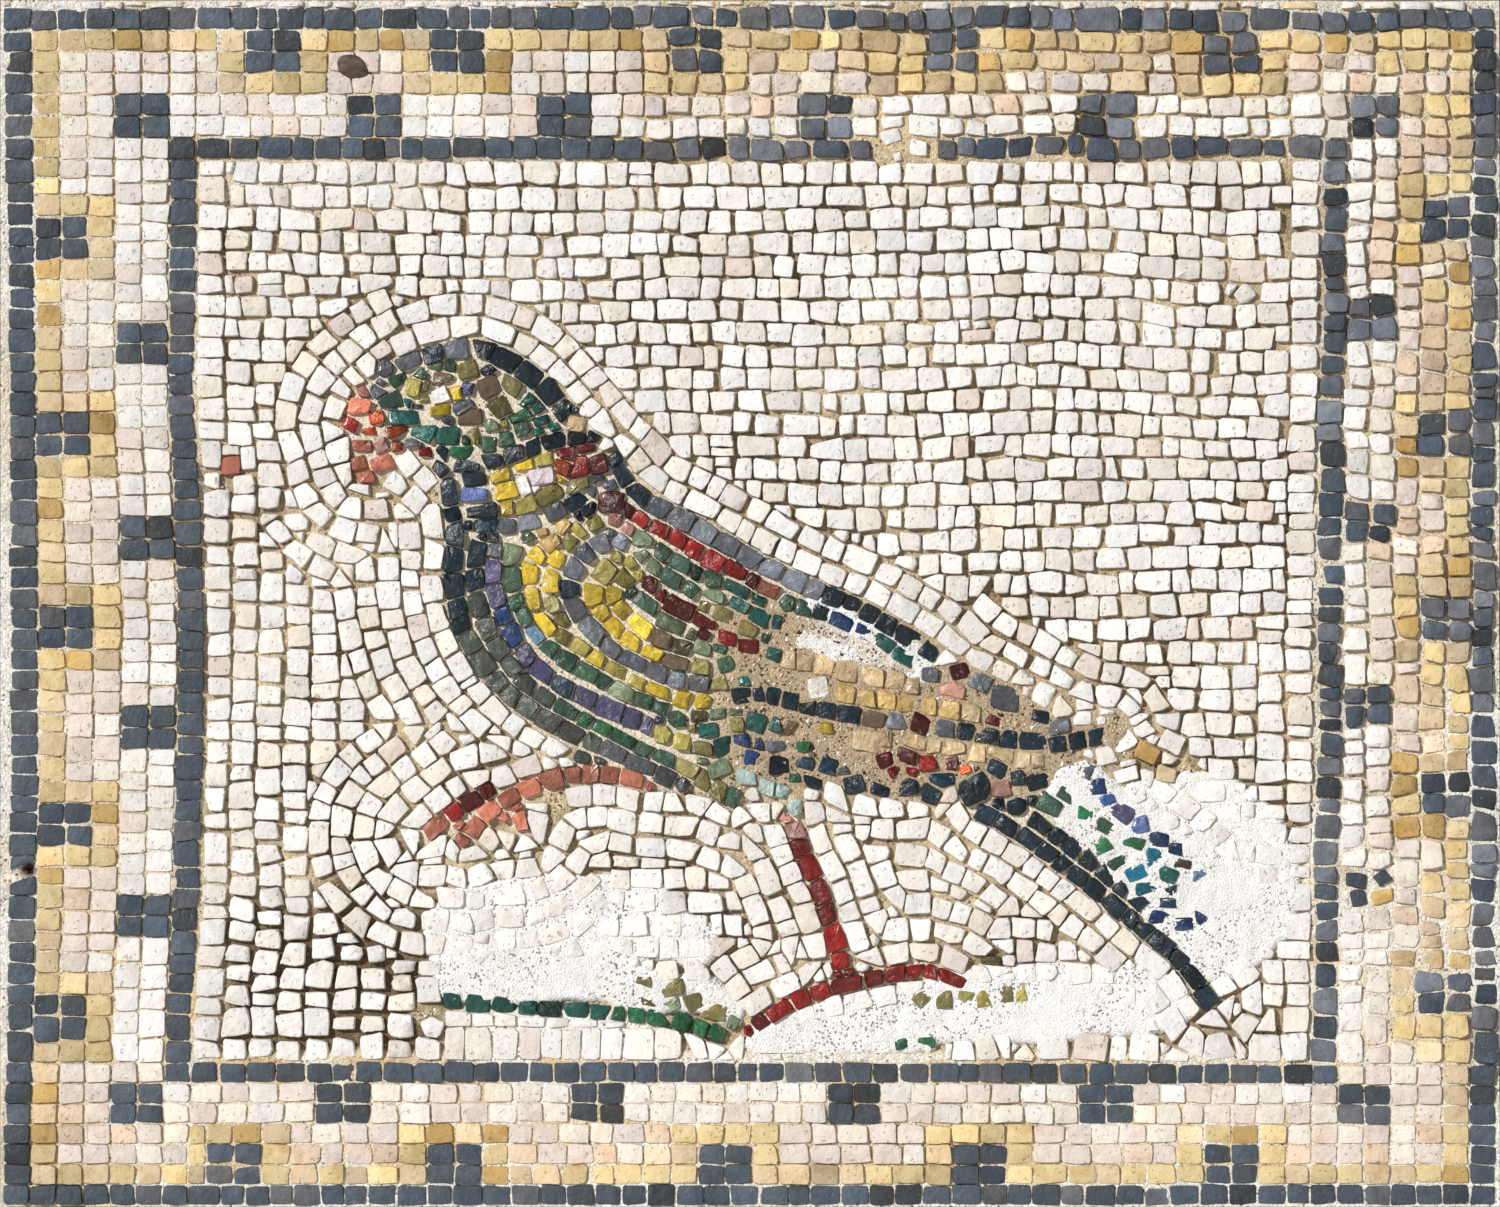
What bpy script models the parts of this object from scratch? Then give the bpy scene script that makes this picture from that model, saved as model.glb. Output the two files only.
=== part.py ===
"""Mosaic panel: a bird walking to the left on a white field, inside a border of stepped rows.

The panel hangs on a wall. X runs to the right, Z upwards, and the front faces -Y. The origin is in
the middle of the flat back. Each node is a mortar bed, a line or field of the border, or a row or
patch of the bird. Each row of the bird is one body with a notch at every joint between its pieces.
"""
import math

import bpy
import numpy as np
from mathutils.geometry import delaunay_2d_cdt

MM = 0.001

# The panel and its pieces
PANEL_WIDTH = 600.0 * MM
PANEL_HEIGHT = 482.8 * MM
BED_THICKNESS = 20.0 * MM
TESSERA_DEPTH = 9.0 * MM
TESSERA_WIDTH = 10.8 * MM
TESSERA_HEIGHT = 8.6 * MM
SEAT_GAP = 0.3 * MM
JOINT = 0.8 * MM
NOTCH_WIDTH = 1.6 * MM
NOTCH_DEPTH = 3.0 * MM

# The strip of bare mortar outside the border, on each side
EDGE_LEFT = 4.0 * MM
EDGE_RIGHT = 0.8 * MM
EDGE_TOP = 3.2 * MM
EDGE_BOTTOM = 0.6 * MM

# Whole tesserae across the border and its blocks
BORDER_TESSERAE = 5
BLOCK_TESSERAE = 2
CORNER_OVERLAP = 2.0 * MM
LEAST_WEB = 2.0 * MM

# Where the blocks stand, as shares of the panel's side, from the left or from the bottom
OUTER_BLOCK_SHARES = {
    "top": (0.183, 0.305, 0.465, 0.635, 0.815),
    "bottom": (0.161, 0.303, 0.483, 0.653, 0.820),
    "left": (0.158, 0.317, 0.480, 0.640, 0.803),
    "right": (0.178, 0.340, 0.487, 0.640, 0.818),
}
INNER_BLOCK_SHARES = {
    "top": (0.250, 0.376, 0.552, 0.737),
    "bottom": (0.231, 0.398, 0.569, 0.737),
    "left": (0.241, 0.397, 0.554, 0.716),
    "right": (0.263, 0.416, 0.567, 0.734),
}

# Clear space between the bird and the edges of its field
SPACE_BEFORE_BEAK = 56.8 * MM
SPACE_BEHIND_TAIL = 34.8 * MM
SPACE_ABOVE_HEAD = 71.2 * MM
SPACE_UNDER_GROUND_LINE = 3.2 * MM

# The bird's heights above and below its middle line, as shares of its length
RISE = 0.302
FALL = 0.505

# Spacing of the pieces along the bird's rows, and the finish of the traced outlines
ROW_PITCH = 9.6 * MM
ROW_CLOSING = 1.3 * MM
OUTLINE_STEP = 1.6 * MM
OUTLINE_TOLERANCE = 0.35 * MM
LEAST_WIDTH = 2.4 * MM

COLOURS = {
    "mortar": (0.70, 0.55, 0.36),
    "plaster": (0.84, 0.83, 0.80),
    "white": (0.87, 0.86, 0.83),
    "ochre": (0.66, 0.50, 0.24),
    "pink": (0.80, 0.68, 0.60),
    "slate": (0.10, 0.13, 0.17),
    "navy": (0.03, 0.05, 0.10),
    "blue": (0.06, 0.12, 0.30),
    "violet": (0.12, 0.14, 0.28),
    "teal": (0.04, 0.20, 0.25),
    "green": (0.10, 0.16, 0.12),
    "sage": (0.17, 0.21, 0.17),
    "olive": (0.24, 0.21, 0.08),
    "lime": (0.42, 0.38, 0.10),
    "yellow": (0.56, 0.46, 0.09),
    "amber": (0.66, 0.47, 0.16),
    "sand": (0.62, 0.46, 0.30),
    "coral": (0.50, 0.20, 0.15),
    "orange": (0.60, 0.13, 0.04),
    "red": (0.32, 0.03, 0.03),
    "maroon": (0.16, 0.03, 0.04),
    "pale_teal": (0.45, 0.55, 0.56),
}

# Rows of the bird: colour, width, and the points its middle passes through. Widths and points are
# thousandths of the bird's length, from the tip of the beak and from the bird's middle line.
ROW_SHARES = {
    "crown_line": ("navy", 22, [(34, 228), (50, 257), (75, 275), (111, 287), (151, 292), (192, 276),
        (230, 247), (254, 218), (270, 197)]),
    "head_row_outer": ("green", 17, [(63, 245), (99, 265), (149, 271), (185, 255), (212, 230),
        (230, 202)]),
    "head_row_middle": ("olive", 16, [(51, 224), (81, 242), (110, 252), (149, 252), (177, 237),
        (196, 216), (206, 193)]),
    "eye": ("white", 17, [(106, 233), (124, 233)]),
    "head_row_inner": ("olive", 16, [(144, 234), (163, 221), (175, 204), (182, 185)]),
    "cheek_row": ("green", 16, [(56, 209), (82, 218), (110, 213), (135, 214), (149, 197), (160, 179)]),
    "cheek_row_lower": ("green", 16, [(74, 200), (101, 197), (124, 193), (138, 177)]),
    "beak_upper": ("coral", 16, [(24, 238), (13, 218), (8, 197)]),
    "beak_orange": ("orange", 14, [(31, 213), (46, 201), (66, 188)]),
    "throat_front": ("coral", 16, [(17, 184), (22, 164), (26, 146)]),
    "throat_row": ("coral", 15, [(39, 185), (44, 167), (49, 152)]),
    "throat_tan": ("sand", 15, [(63, 172), (81, 171), (99, 177)]),
    "collar_top_line": ("navy", 17, [(108, 179), (125, 159), (156, 160), (204, 173), (247, 188),
        (279, 189)]),
    "collar_row_top": ("yellow", 18, [(135, 138), (176, 147), (224, 162), (261, 173), (290, 173)]),
    "collar_row_middle": ("yellow", 18, [(144, 121), (197, 131), (242, 148), (286, 156), (299, 161)]),
    "collar_row_lower": ("lime", 17, [(140, 105), (179, 106), (220, 115), (258, 134), (297, 147)]),
    "collar_bottom_line": ("slate", 17, [(149, 89), (199, 90), (242, 103), (281, 125), (308, 136)]),
    "back_line": ("slate", 22, [(312, 156), (338, 122), (395, 92), (463, 52), (531, 18), (594, -9),
        (637, -34), (681, -61)]),
    "back_red_line": ("red", 18, [(306, 119), (338, 98), (369, 80), (410, 57), (453, 34), (499, 11)]),
    "back_blue_line": ("blue", 16, [(516, -3), (549, -13), (600, -34), (653, -69)]),
    "breast_line_outer": ("navy", 20, [(118, 143), (122, 111), (129, 84), (126, 49), (127, 15),
        (133, -19), (151, -55), (180, -95), (221, -128), (289, -162), (347, -188), (379, -206)]),
    "breast_line_inner": ("navy", 20, [(156, 71), (149, 44), (152, 10), (164, -28), (183, -63),
        (213, -98), (249, -122), (292, -144), (338, -166), (383, -186), (423, -210), (452, -226)]),
    "violet_band": ("violet", 19, [(173, 67), (170, 36), (176, 2), (192, -37), (217, -71), (254, -97),
        (298, -118), (355, -143)]),
    "green_band": ("green", 19, [(198, 69), (190, 40), (196, 7), (213, -28), (242, -57), (288, -84),
        (333, -108), (374, -123)]),
    "yellow_band": ("yellow", 19, [(247, 75), (222, 57), (212, 30), (217, -4), (234, -31), (265, -48),
        (303, -73), (349, -98), (397, -113)]),
    "shoulder_line": ("slate", 20, [(306, 71), (281, 60), (263, 38), (258, 12), (270, -15), (297, -45),
        (336, -71), (377, -87), (420, -95)]),
    "shoulder_yellow_gap": ("lime", 18, [(275, 87), (254, 67), (239, 43), (235, 15), (243, -11)]),
    "wing_yellow_outer": ("yellow", 20, [(308, 47), (290, 30), (284, 7), (296, -16), (320, -40),
        (354, -60), (392, -72), (420, -75)]),
    "wing_yellow_inner": ("yellow", 20, [(329, 36), (312, 23), (308, 4), (322, -15), (349, -36),
        (388, -52), (429, -59)]),
    "wing_green_top": ("green", 17, [(320, 93), (349, 69), (379, 48), (413, 31), (447, 18), (486, -2)]),
    "wing_green_middle": ("sage", 17, [(334, 61), (361, 37), (395, 15), (436, 2), (474, -14), (504, -26)]),
    "wing_sage_row": ("sage", 17, [(336, 13), (349, -6), (379, -26), (413, -43), (440, -55)]),
    "wing_red_row": ("maroon", 16, [(358, 7), (390, -11), (424, -32), (465, -49)]),
    "wing_olive_row": ("olive", 16, [(399, -1), (431, -16), (465, -32), (490, -44)]),
    "feather_tan_row": ("sand", 20, [(484, -61), (534, -68), (588, -80), (639, -90), (668, -96)]),
    "feather_ochre_row": ("amber", 18, [(563, -103), (611, -111), (668, -118), (730, -128)]),
    "feather_dark_line": ("navy", 19, [(440, -105), (477, -103), (523, -114), (585, -128), (656, -138),
        (730, -150), (804, -160), (873, -152)]),
    "feather_lower_tan": ("sand", 18, [(595, -152), (656, -160), (730, -171), (804, -181)]),
    "feather_red_row": ("maroon", 16, [(611, -177), (651, -180), (696, -187)]),
    "under_line": ("navy", 19, [(495, -184), (552, -188), (588, -205), (639, -211), (691, -205),
        (747, -199), (788, -202)]),
    "rump_row": ("slate", 17, [(691, -78), (725, -92), (759, -109), (802, -130)]),
    "belly_row_top": ("green", 18, [(395, -135), (431, -130), (470, -135), (520, -144)]),
    "belly_row_middle": ("olive", 18, [(374, -156), (413, -163), (452, -160), (493, -164)]),
    "belly_row_low": ("pale_teal", 18, [(424, -185), (452, -196), (484, -210), (511, -219)]),
    "tail_line": ("navy", 17, [(722, -236), (767, -260), (823, -299), (870, -337), (918, -377),
        (957, -409), (978, -437), (994, -462)]),
    "tail_line_inner": ("navy", 17, [(782, -246), (829, -278), (879, -318), (916, -349)]),
    "tail_blue_row": ("blue", 16, [(843, -187), (861, -216), (904, -250), (943, -280), (973, -310)]),
    "tail_green_row": ("green", 16, [(802, -226), (844, -237), (870, -254), (900, -275)]),
    "tail_teal_row": ("teal", 17, [(861, -276), (895, -299), (927, -319), (959, -356)]),
    "standing_leg": ("red", 19, [(513, -249), (527, -288), (545, -329), (561, -377), (571, -419)]),
    "standing_foot": ("red", 15, [(469, -486), (501, -464), (554, -441), (600, -431), (662, -419),
        (711, -437)]),
    "raised_leg": ("coral", 17, [(345, -204), (287, -195), (232, -204), (190, -222), (158, -246),
        (141, -267)]),
    "raised_toe": ("maroon", 15, [(160, -219), (135, -233), (93, -265)]),
    "raised_toe_back": ("coral", 15, [(198, -238), (207, -262)]),
    "ground_line": ("green", 15, [(114, -454), (184, -460), (275, -466), (355, -473), (408, -485),
        (438, -497)]),
    "tuft_left": ("olive", 16, [(341, -429), (374, -440), (420, -461), (449, -476)]),
    "tuft_right": ("olive", 16, [(659, -451), (708, -451), (776, -447)]),
}

# Rows that stand so close that they are one patch: its colour and its rows
PATCHES = {
    "head_feathers": ("green", ("head_row_outer", "head_row_middle", "eye", "head_row_inner",
                                "cheek_row", "cheek_row_lower")),
    "beak": ("coral", ("beak_upper", "beak_orange", "throat_front", "throat_row", "throat_tan")),
    "collar": ("yellow", ("collar_row_top", "collar_row_middle", "collar_row_lower")),
    "wing_green_feathers": ("sage", ("wing_green_top", "wing_green_middle", "wing_sage_row",
                                     "wing_red_row", "wing_olive_row")),
    "belly_feathers": ("olive", ("belly_row_top", "belly_row_middle", "belly_row_low")),
    "rump_feathers": ("sand", ("feather_lower_tan", "feather_red_row")),
    "tail_feathers": ("teal", ("tail_green_row", "tail_teal_row")),
}

# Old plaster repairs, in the same thousandths
REPAIR_SHARES = {
    "repair_left": [(93, -343), (144, -315), (247, -309), (349, -320), (423, -371), (406, -415),
        (338, -412), (247, -442), (122, -437), (93, -394)],
    "repair_feet": [(461, -499), (480, -478), (577, -451), (702, -423), (816, -408), (918, -411),
        (964, -440), (952, -485), (838, -501), (634, -503)],
    "repair_tail": [(873, -218), (941, -195), (1032, -212), (1086, -269), (1093, -337), (1066, -394),
        (1020, -428), (969, -394), (929, -354), (907, -315)],
    "repair_wing": [(520, -21), (577, -44), (639, -73), (673, -92), (611, -78), (520, -53)],
}

FRONT = -(BED_THICKNESS + SEAT_GAP + TESSERA_DEPTH)
SEAT = -(BED_THICKNESS + SEAT_GAP)


def remove_all():
    """Empty the scene."""
    for thing in list(bpy.data.objects):
        bpy.data.objects.remove(thing, do_unlink=True)


def material(name, colour):
    """Return a new Principled material in the given colour."""
    made = bpy.data.materials.new(name)
    made.use_nodes = True
    shader = made.node_tree.nodes["Principled BSDF"]
    shader.inputs["Base Color"].default_value = (*COLOURS[colour], 1.0)
    shader.inputs["Roughness"].default_value = 0.6
    made.diffuse_color = (*COLOURS[colour], 1.0)
    return made


def add_object(name, points, faces, colour):
    """Add one closed mesh with its own material."""
    mesh = bpy.data.meshes.new(name)
    mesh.from_pydata([tuple(point) for point in points], [], [tuple(face) for face in faces])
    mesh.update()
    mesh.materials.append(material(name + "_colour", colour))
    made = bpy.data.objects.new(name, mesh)
    bpy.context.scene.collection.objects.link(made)
    return made


def inside_loops(x, z, loops):
    """Tell which of the points lie inside the loops, counted odd and even."""
    found = np.zeros(np.shape(x), dtype=bool)
    for loop in loops:
        points = np.asarray(loop)
        for start, end in zip(points, np.roll(points, -1, axis=0)):
            if start[1] == end[1]:
                continue
            spans = (start[1] > z) != (end[1] > z)
            cross = start[0] + (z - start[1]) / (end[1] - start[1]) * (end[0] - start[0])
            found ^= spans & (x < cross)
    return found


def add_plate(name, loops, colour, back=SEAT, front=FRONT):
    """Add a flat plate with the given outline and holes, from the back to the front plane."""
    flat = []
    edges = []
    for loop in loops:
        first = len(flat)
        flat.extend((float(x), float(z)) for x, z in loop)
        edges.extend((first + k, first + (k + 1) % len(loop)) for k in range(len(loop)))
    vertices, _, faces = delaunay_2d_cdt(flat, edges, [], 0, 1e-7)[:3]
    corners = np.array([tuple(vertex) for vertex in vertices])
    triangles = np.array(faces)
    middle = corners[triangles].mean(axis=1)
    triangles = triangles[inside_loops(middle[:, 0], middle[:, 1], loops)]
    used = np.unique(triangles)
    renumber = np.zeros(len(corners), dtype=int)
    renumber[used] = np.arange(len(used))
    corners = corners[used]
    triangles = renumber[triangles]
    a, b, c = (corners[triangles[:, k]] for k in range(3))
    turn = (b[:, 0] - a[:, 0]) * (c[:, 1] - a[:, 1]) - (b[:, 1] - a[:, 1]) * (c[:, 0] - a[:, 0])
    triangles[turn < 0] = triangles[turn < 0][:, ::-1]
    count = len(corners)
    sides = {(int(t[k]), int(t[(k + 1) % 3])) for t in triangles for k in range(3)}
    walls = [(p, p + count, q + count, q) for p, q in sides if (q, p) not in sides]
    points = [(x, front, z) for x, z in corners] + [(x, back, z) for x, z in corners]
    faces = [tuple(int(k) for k in t) for t in triangles]
    faces += [tuple(int(k) + count for k in t[::-1]) for t in triangles]
    return add_object(name, points, faces + walls, colour)


def rectangle(box):
    """Return a box's corners, anticlockwise."""
    left, right, bottom, top = box
    return [(left, bottom), (right, bottom), (right, top), (left, top)]


def grown(box, across, up=None):
    """Return a box with its sides moved outwards."""
    left, right, bottom, top = box
    up = across if up is None else up
    return (left - across, right + across, bottom - up, top + up)


def stepped_outline(box, steps, corner=None):
    """Return a box's outline, anticlockwise, with a rectangular step at each given place.

    The steps of a side are (place, half width, reach), and a positive reach goes inwards. A corner
    of (width, height, overlap) adds a block outside each corner, which overlaps the box a little.
    """
    left, right, bottom, top = box
    sides = (
        ("bottom", (left, bottom), (1, 0), (0, 1)),
        ("right", (right, bottom), (0, 1), (-1, 0)),
        ("top", (right, top), (-1, 0), (0, -1)),
        ("left", (left, top), (0, -1), (1, 0)),
    )
    points = []
    for side, start, along, inwards in sides:
        if corner is None:
            points.append(start)
        else:
            size = (corner[0], corner[1])
            before = size[0] if along[0] else size[1]
            outer = size[1] if along[0] else size[0]
            lap = corner[2]
            for run, out in ((0.0, -lap), (-before, -lap), (-before, outer), (lap, outer), (lap, 0.0)):
                points.append((start[0] + along[0] * run - inwards[0] * out,
                               start[1] + along[1] * run - inwards[1] * out))
        axis = 0 if along[0] else 1
        forward = along[axis]
        for place, half, reach in sorted(steps[side], key=lambda step: step[0] * forward):
            for run, depth in ((-half, 0.0), (-half, reach), (half, reach), (half, 0.0)):
                point = [start[0] + inwards[0] * depth, start[1] + inwards[1] * depth]
                point[axis] = place + forward * run + (inwards[axis] * depth)
                points.append(tuple(point))
    return points


def side_sizes(side):
    """Return one tessera's size along a side and across it."""
    if side in ("top", "bottom"):
        return TESSERA_WIDTH, TESSERA_HEIGHT
    return TESSERA_HEIGHT, TESSERA_WIDTH


def places(blocks, side):
    """Return where the blocks of one side stand, measured from the panel's middle."""
    length = PANEL_WIDTH if side in ("top", "bottom") else PANEL_HEIGHT
    return [(share - 0.5) * length for share in blocks[side]]


def build_border():
    """Add the two dark lines with their blocks, the ochre row and the pale rows between them."""
    panel = (-PANEL_WIDTH / 2, PANEL_WIDTH / 2, -PANEL_HEIGHT / 2, PANEL_HEIGHT / 2)
    outer = (panel[0] + EDGE_LEFT, panel[1] - EDGE_RIGHT, panel[2] + EDGE_BOTTOM, panel[3] - EDGE_TOP)
    field = grown(outer, -TESSERA_WIDTH, -TESSERA_HEIGHT)
    inner = grown(field, -BORDER_TESSERAE * TESSERA_WIDTH, -BORDER_TESSERAE * TESSERA_HEIGHT)
    ground = grown(inner, -TESSERA_WIDTH, -TESSERA_HEIGHT)
    ochre_inside = grown(field, -(TESSERA_WIDTH + JOINT), -(TESSERA_HEIGHT + JOINT))

    block_steps = {}
    ochre_outside = {}
    ochre_steps = {}
    pale_outside = {}
    inner_steps = {}
    pale_inside = {}
    for side in ("bottom", "right", "top", "left"):
        along, across = side_sizes(side)
        half = BLOCK_TESSERAE * along / 2
        reach = BLOCK_TESSERAE * across
        low, high = (inner[0], inner[1]) if side in ("top", "bottom") else (inner[2], inner[3])
        inner_places = places(INNER_BLOCK_SHARES, side)
        others = inner_places + [low + CORNER_OVERLAP - half, high - CORNER_OVERLAP + half]
        outer_places = places(OUTER_BLOCK_SHARES, side)
        room = [min(abs(place - other) for other in others) for place in outer_places]
        spare = [min(along, gap - 2 * half - 3 * JOINT - LEAST_WEB) for gap in room]
        block_steps[side] = [(place, half, reach) for place in outer_places]
        ochre_outside[side] = [(place, half + JOINT, reach) for place in outer_places]
        ochre_steps[side] = [(place, half + JOINT + extra, reach)
                             for place, extra in zip(outer_places, spare)]
        pale_outside[side] = [(place, wide + JOINT, reach) for place, wide, _ in ochre_steps[side]]
        inner_steps[side] = [(place, half, -reach) for place in inner_places]
        pale_inside[side] = [(place, half + JOINT, -reach) for place in inner_places]

    add_plate("outer_line", [rectangle(outer), stepped_outline(field, block_steps)], "slate")
    add_plate("ochre_row", [stepped_outline(grown(field, -JOINT), ochre_outside),
                            stepped_outline(ochre_inside, ochre_steps)], "ochre")
    corner = (BLOCK_TESSERAE * TESSERA_WIDTH, BLOCK_TESSERAE * TESSERA_HEIGHT)
    add_plate("pale_rows", [
        stepped_outline(grown(ochre_inside, -JOINT), pale_outside),
        stepped_outline(grown(inner, JOINT), pale_inside, (*corner, CORNER_OVERLAP + 2 * JOINT)),
    ], "pink")
    add_plate("inner_line", [stepped_outline(inner, inner_steps, (*corner, CORNER_OVERLAP)),
                             rectangle(ground)], "slate")
    add_plate("mortar_bed", [rectangle(panel)], "mortar", 0.0, -BED_THICKNESS)
    return grown(ground, -JOINT)


def smooth_path(points, step):
    """Return evenly spaced points on a smooth curve through the given points."""
    given = np.array(points, dtype=float)
    given = np.vstack([2 * given[0] - given[1], given, 2 * given[-1] - given[-2]])
    dense = []
    for a, b, c, d in zip(given[:-3], given[1:-2], given[2:-1], given[3:]):
        t = np.linspace(0.0, 1.0, 24, endpoint=False)[:, None]
        dense.append(0.5 * (2 * b + (c - a) * t + (2 * a - 5 * b + 4 * c - d) * t**2
                            + (3 * b - 3 * c + d - a) * t**3))
    dense = np.vstack(dense + [given[-2:-1]])
    run = np.concatenate([[0.0], np.cumsum(np.hypot(*np.diff(dense, axis=0).T))])
    count = max(2, int(round(run[-1] / step)) + 1)
    at = np.linspace(0.0, run[-1], count)
    return np.column_stack([np.interp(at, run, dense[:, 0]), np.interp(at, run, dense[:, 1])]), run[-1]


def lay_out_rows(ground):
    """Return the ends of each row's joints, the bird's starting point and its scale."""
    left, right, bottom, top = ground
    length = min(right - left - SPACE_BEFORE_BEAK - SPACE_BEHIND_TAIL,
                 (top - bottom - SPACE_ABOVE_HEAD - SPACE_UNDER_GROUND_LINE) / (RISE + FALL))
    start = np.array([left + SPACE_BEFORE_BEAK,
                      bottom + SPACE_UNDER_GROUND_LINE + FALL * length])
    share = length / 1000
    paths = {}
    for name, (_, width, points) in ROW_SHARES.items():
        path, run = smooth_path([start + share * np.array(point) for point in points],
                                OUTLINE_STEP)
        paths[name] = [path, run, width * share / 2]
    joints = {}
    for name, (path, run, wide) in paths.items():
        rest = np.vstack([other[0] for key, other in paths.items() if key != name])
        gap = np.sqrt(((path[:, None] - rest[None]) ** 2).sum(axis=2)).min(axis=1)
        half = np.clip((gap - JOINT) / 2, LEAST_WIDTH / 2, wide)
        tangent = np.gradient(path, axis=0)
        tangent /= np.hypot(tangent[:, 0], tangent[:, 1])[:, None]
        offset = np.column_stack([-tangent[:, 1], tangent[:, 0]]) * half[:, None]
        along = np.linspace(0.0, run, len(path))
        at = np.linspace(0.0, run, max(1, int(round(run / ROW_PITCH))) + 1)
        right_edge, left_edge = (
            np.column_stack([np.interp(at, along, edge[:, k]) for k in range(2)])
            for edge in (path - offset, path + offset))
        joints[name] = (right_edge, left_edge)
    return joints, start, share


def row_outline(row):
    """Return the outline of a row from its joints' right and left ends."""
    right_edge, left_edge = row
    return np.vstack([right_edge, left_edge[::-1]])


def distance_to_rows(rows, x, z):
    """Return the distance from every point of a grid to the nearest row, negative inside one."""
    nearest = np.full(x.shape, np.inf)
    for row in rows:
        nearest = np.minimum(nearest, distance_to_outline(row_outline(row), x, z))
    return nearest


def distance_to_outline(loop, x, z):
    """Return the distance from every point of a grid to a closed outline, negative inside."""
    points = np.asarray(loop)
    nearest = np.full(x.shape, np.inf)
    for start, end in zip(points, np.roll(points, -1, axis=0)):
        way = end - start
        along = np.clip(((x - start[0]) * way[0] + (z - start[1]) * way[1]) / (way @ way), 0.0, 1.0)
        nearest = np.minimum(nearest, np.hypot(x - start[0] - along * way[0],
                                               z - start[1] - along * way[1]))
    return np.where(inside_loops(x, z, [loop]), -nearest, nearest)


def simplified(loop, tolerance):
    """Return a closed outline with only the points that its shape needs."""
    far = int(np.argmax(np.hypot(*(loop - loop[0]).T)))
    keep = {0, far}
    spans = [(0, far), (far, len(loop))]
    ring = np.vstack([loop, loop[:1]])
    while spans:
        first, last = spans.pop()
        if last - first < 2:
            continue
        way = ring[last] - ring[first]
        way = way / max(np.hypot(*way), 1e-9)
        off = ring[first + 1:last] - ring[first]
        away = np.abs(off[:, 0] * way[1] - off[:, 1] * way[0])
        worst = int(np.argmax(away))
        if away[worst] > tolerance:
            middle = first + 1 + worst
            keep.add(middle)
            spans += [(first, middle), (middle, last)]
    return loop[sorted(keep)]


def loop_area(loop):
    """Return an outline's area, positive when it runs anticlockwise."""
    after = np.roll(loop, -1, axis=0)
    return float((loop[:, 0] * after[:, 1] - loop[:, 1] * after[:, 0]).sum() / 2)


def outlines(field, xs, zs, tolerance=OUTLINE_TOLERANCE):
    """Return the closed outlines of the places where a field on a grid is below zero.

    Outlines run anticlockwise around such places and clockwise around holes in them.
    """
    below = field < 0
    mixed = below[:-1, :-1].astype(int) + below[:-1, 1:] + below[1:, :-1] + below[1:, 1:]
    after = {}
    for row, column in zip(*np.nonzero((mixed > 0) & (mixed < 4))):
        corners = ((row, column), (row, column + 1), (row + 1, column + 1), (row + 1, column))
        flags = [below[corner] for corner in corners]
        edges = [(corners[k], corners[(k + 1) % 4]) for k in range(4)]
        for k in range(4):
            if flags[k] or not flags[(k + 1) % 4]:
                continue
            leave = next(m % 4 for m in range(k + 1, k + 5) if flags[m % 4] and not flags[(m + 1) % 4])
            after[frozenset(edges[leave])] = frozenset(edges[k])
    loops = []
    while after:
        edge, following = next(iter(after.items()))
        ring = []
        while edge in after:
            (r0, c0), (r1, c1) = sorted(edge)
            part = field[r0, c0] / (field[r0, c0] - field[r1, c1])
            ring.append((xs[c0] + part * (xs[c1] - xs[c0]), zs[r0] + part * (zs[r1] - zs[r0])))
            edge = after.pop(edge)
        loops.append(simplified(np.array(ring), tolerance))
    return [loop for loop in loops if abs(loop_area(loop)) > LEAST_WIDTH**2]


def without_slivers(field, x, z, width):
    """Return a field whose places below zero also take in any gap narrower than the width."""
    loops = outlines(field - width / 2, x[0], z[:, 0], OUTLINE_TOLERANCE / 10)
    nearest = np.min([np.abs(distance_to_outline(loop, x, z)) for loop in loops], axis=0)
    return np.where(inside_loops(x, z, loops), -nearest, nearest) + width / 2


def encloses(loop, other):
    """Tell whether one outline stands inside another."""
    return bool(inside_loops(np.array([other[0][0]]), np.array([other[0][1]]), [loop])[0])


def outermost(loops):
    """Return the outlines that run round something and stand inside no other."""
    bodies = [loop for loop in loops if loop_area(loop) > 0]
    return [loop for k, loop in enumerate(bodies)
            if not any(encloses(other, loop) for m, other in enumerate(bodies) if m != k)]


def largest(field, xs, zs):
    """Return the largest place where a field is below zero: its outline, then its holes."""
    loops = outlines(field, xs, zs)
    body = max(loops, key=loop_area)
    return [body] + [loop for loop in loops if loop_area(loop) < 0 and encloses(body, loop)]


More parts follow.
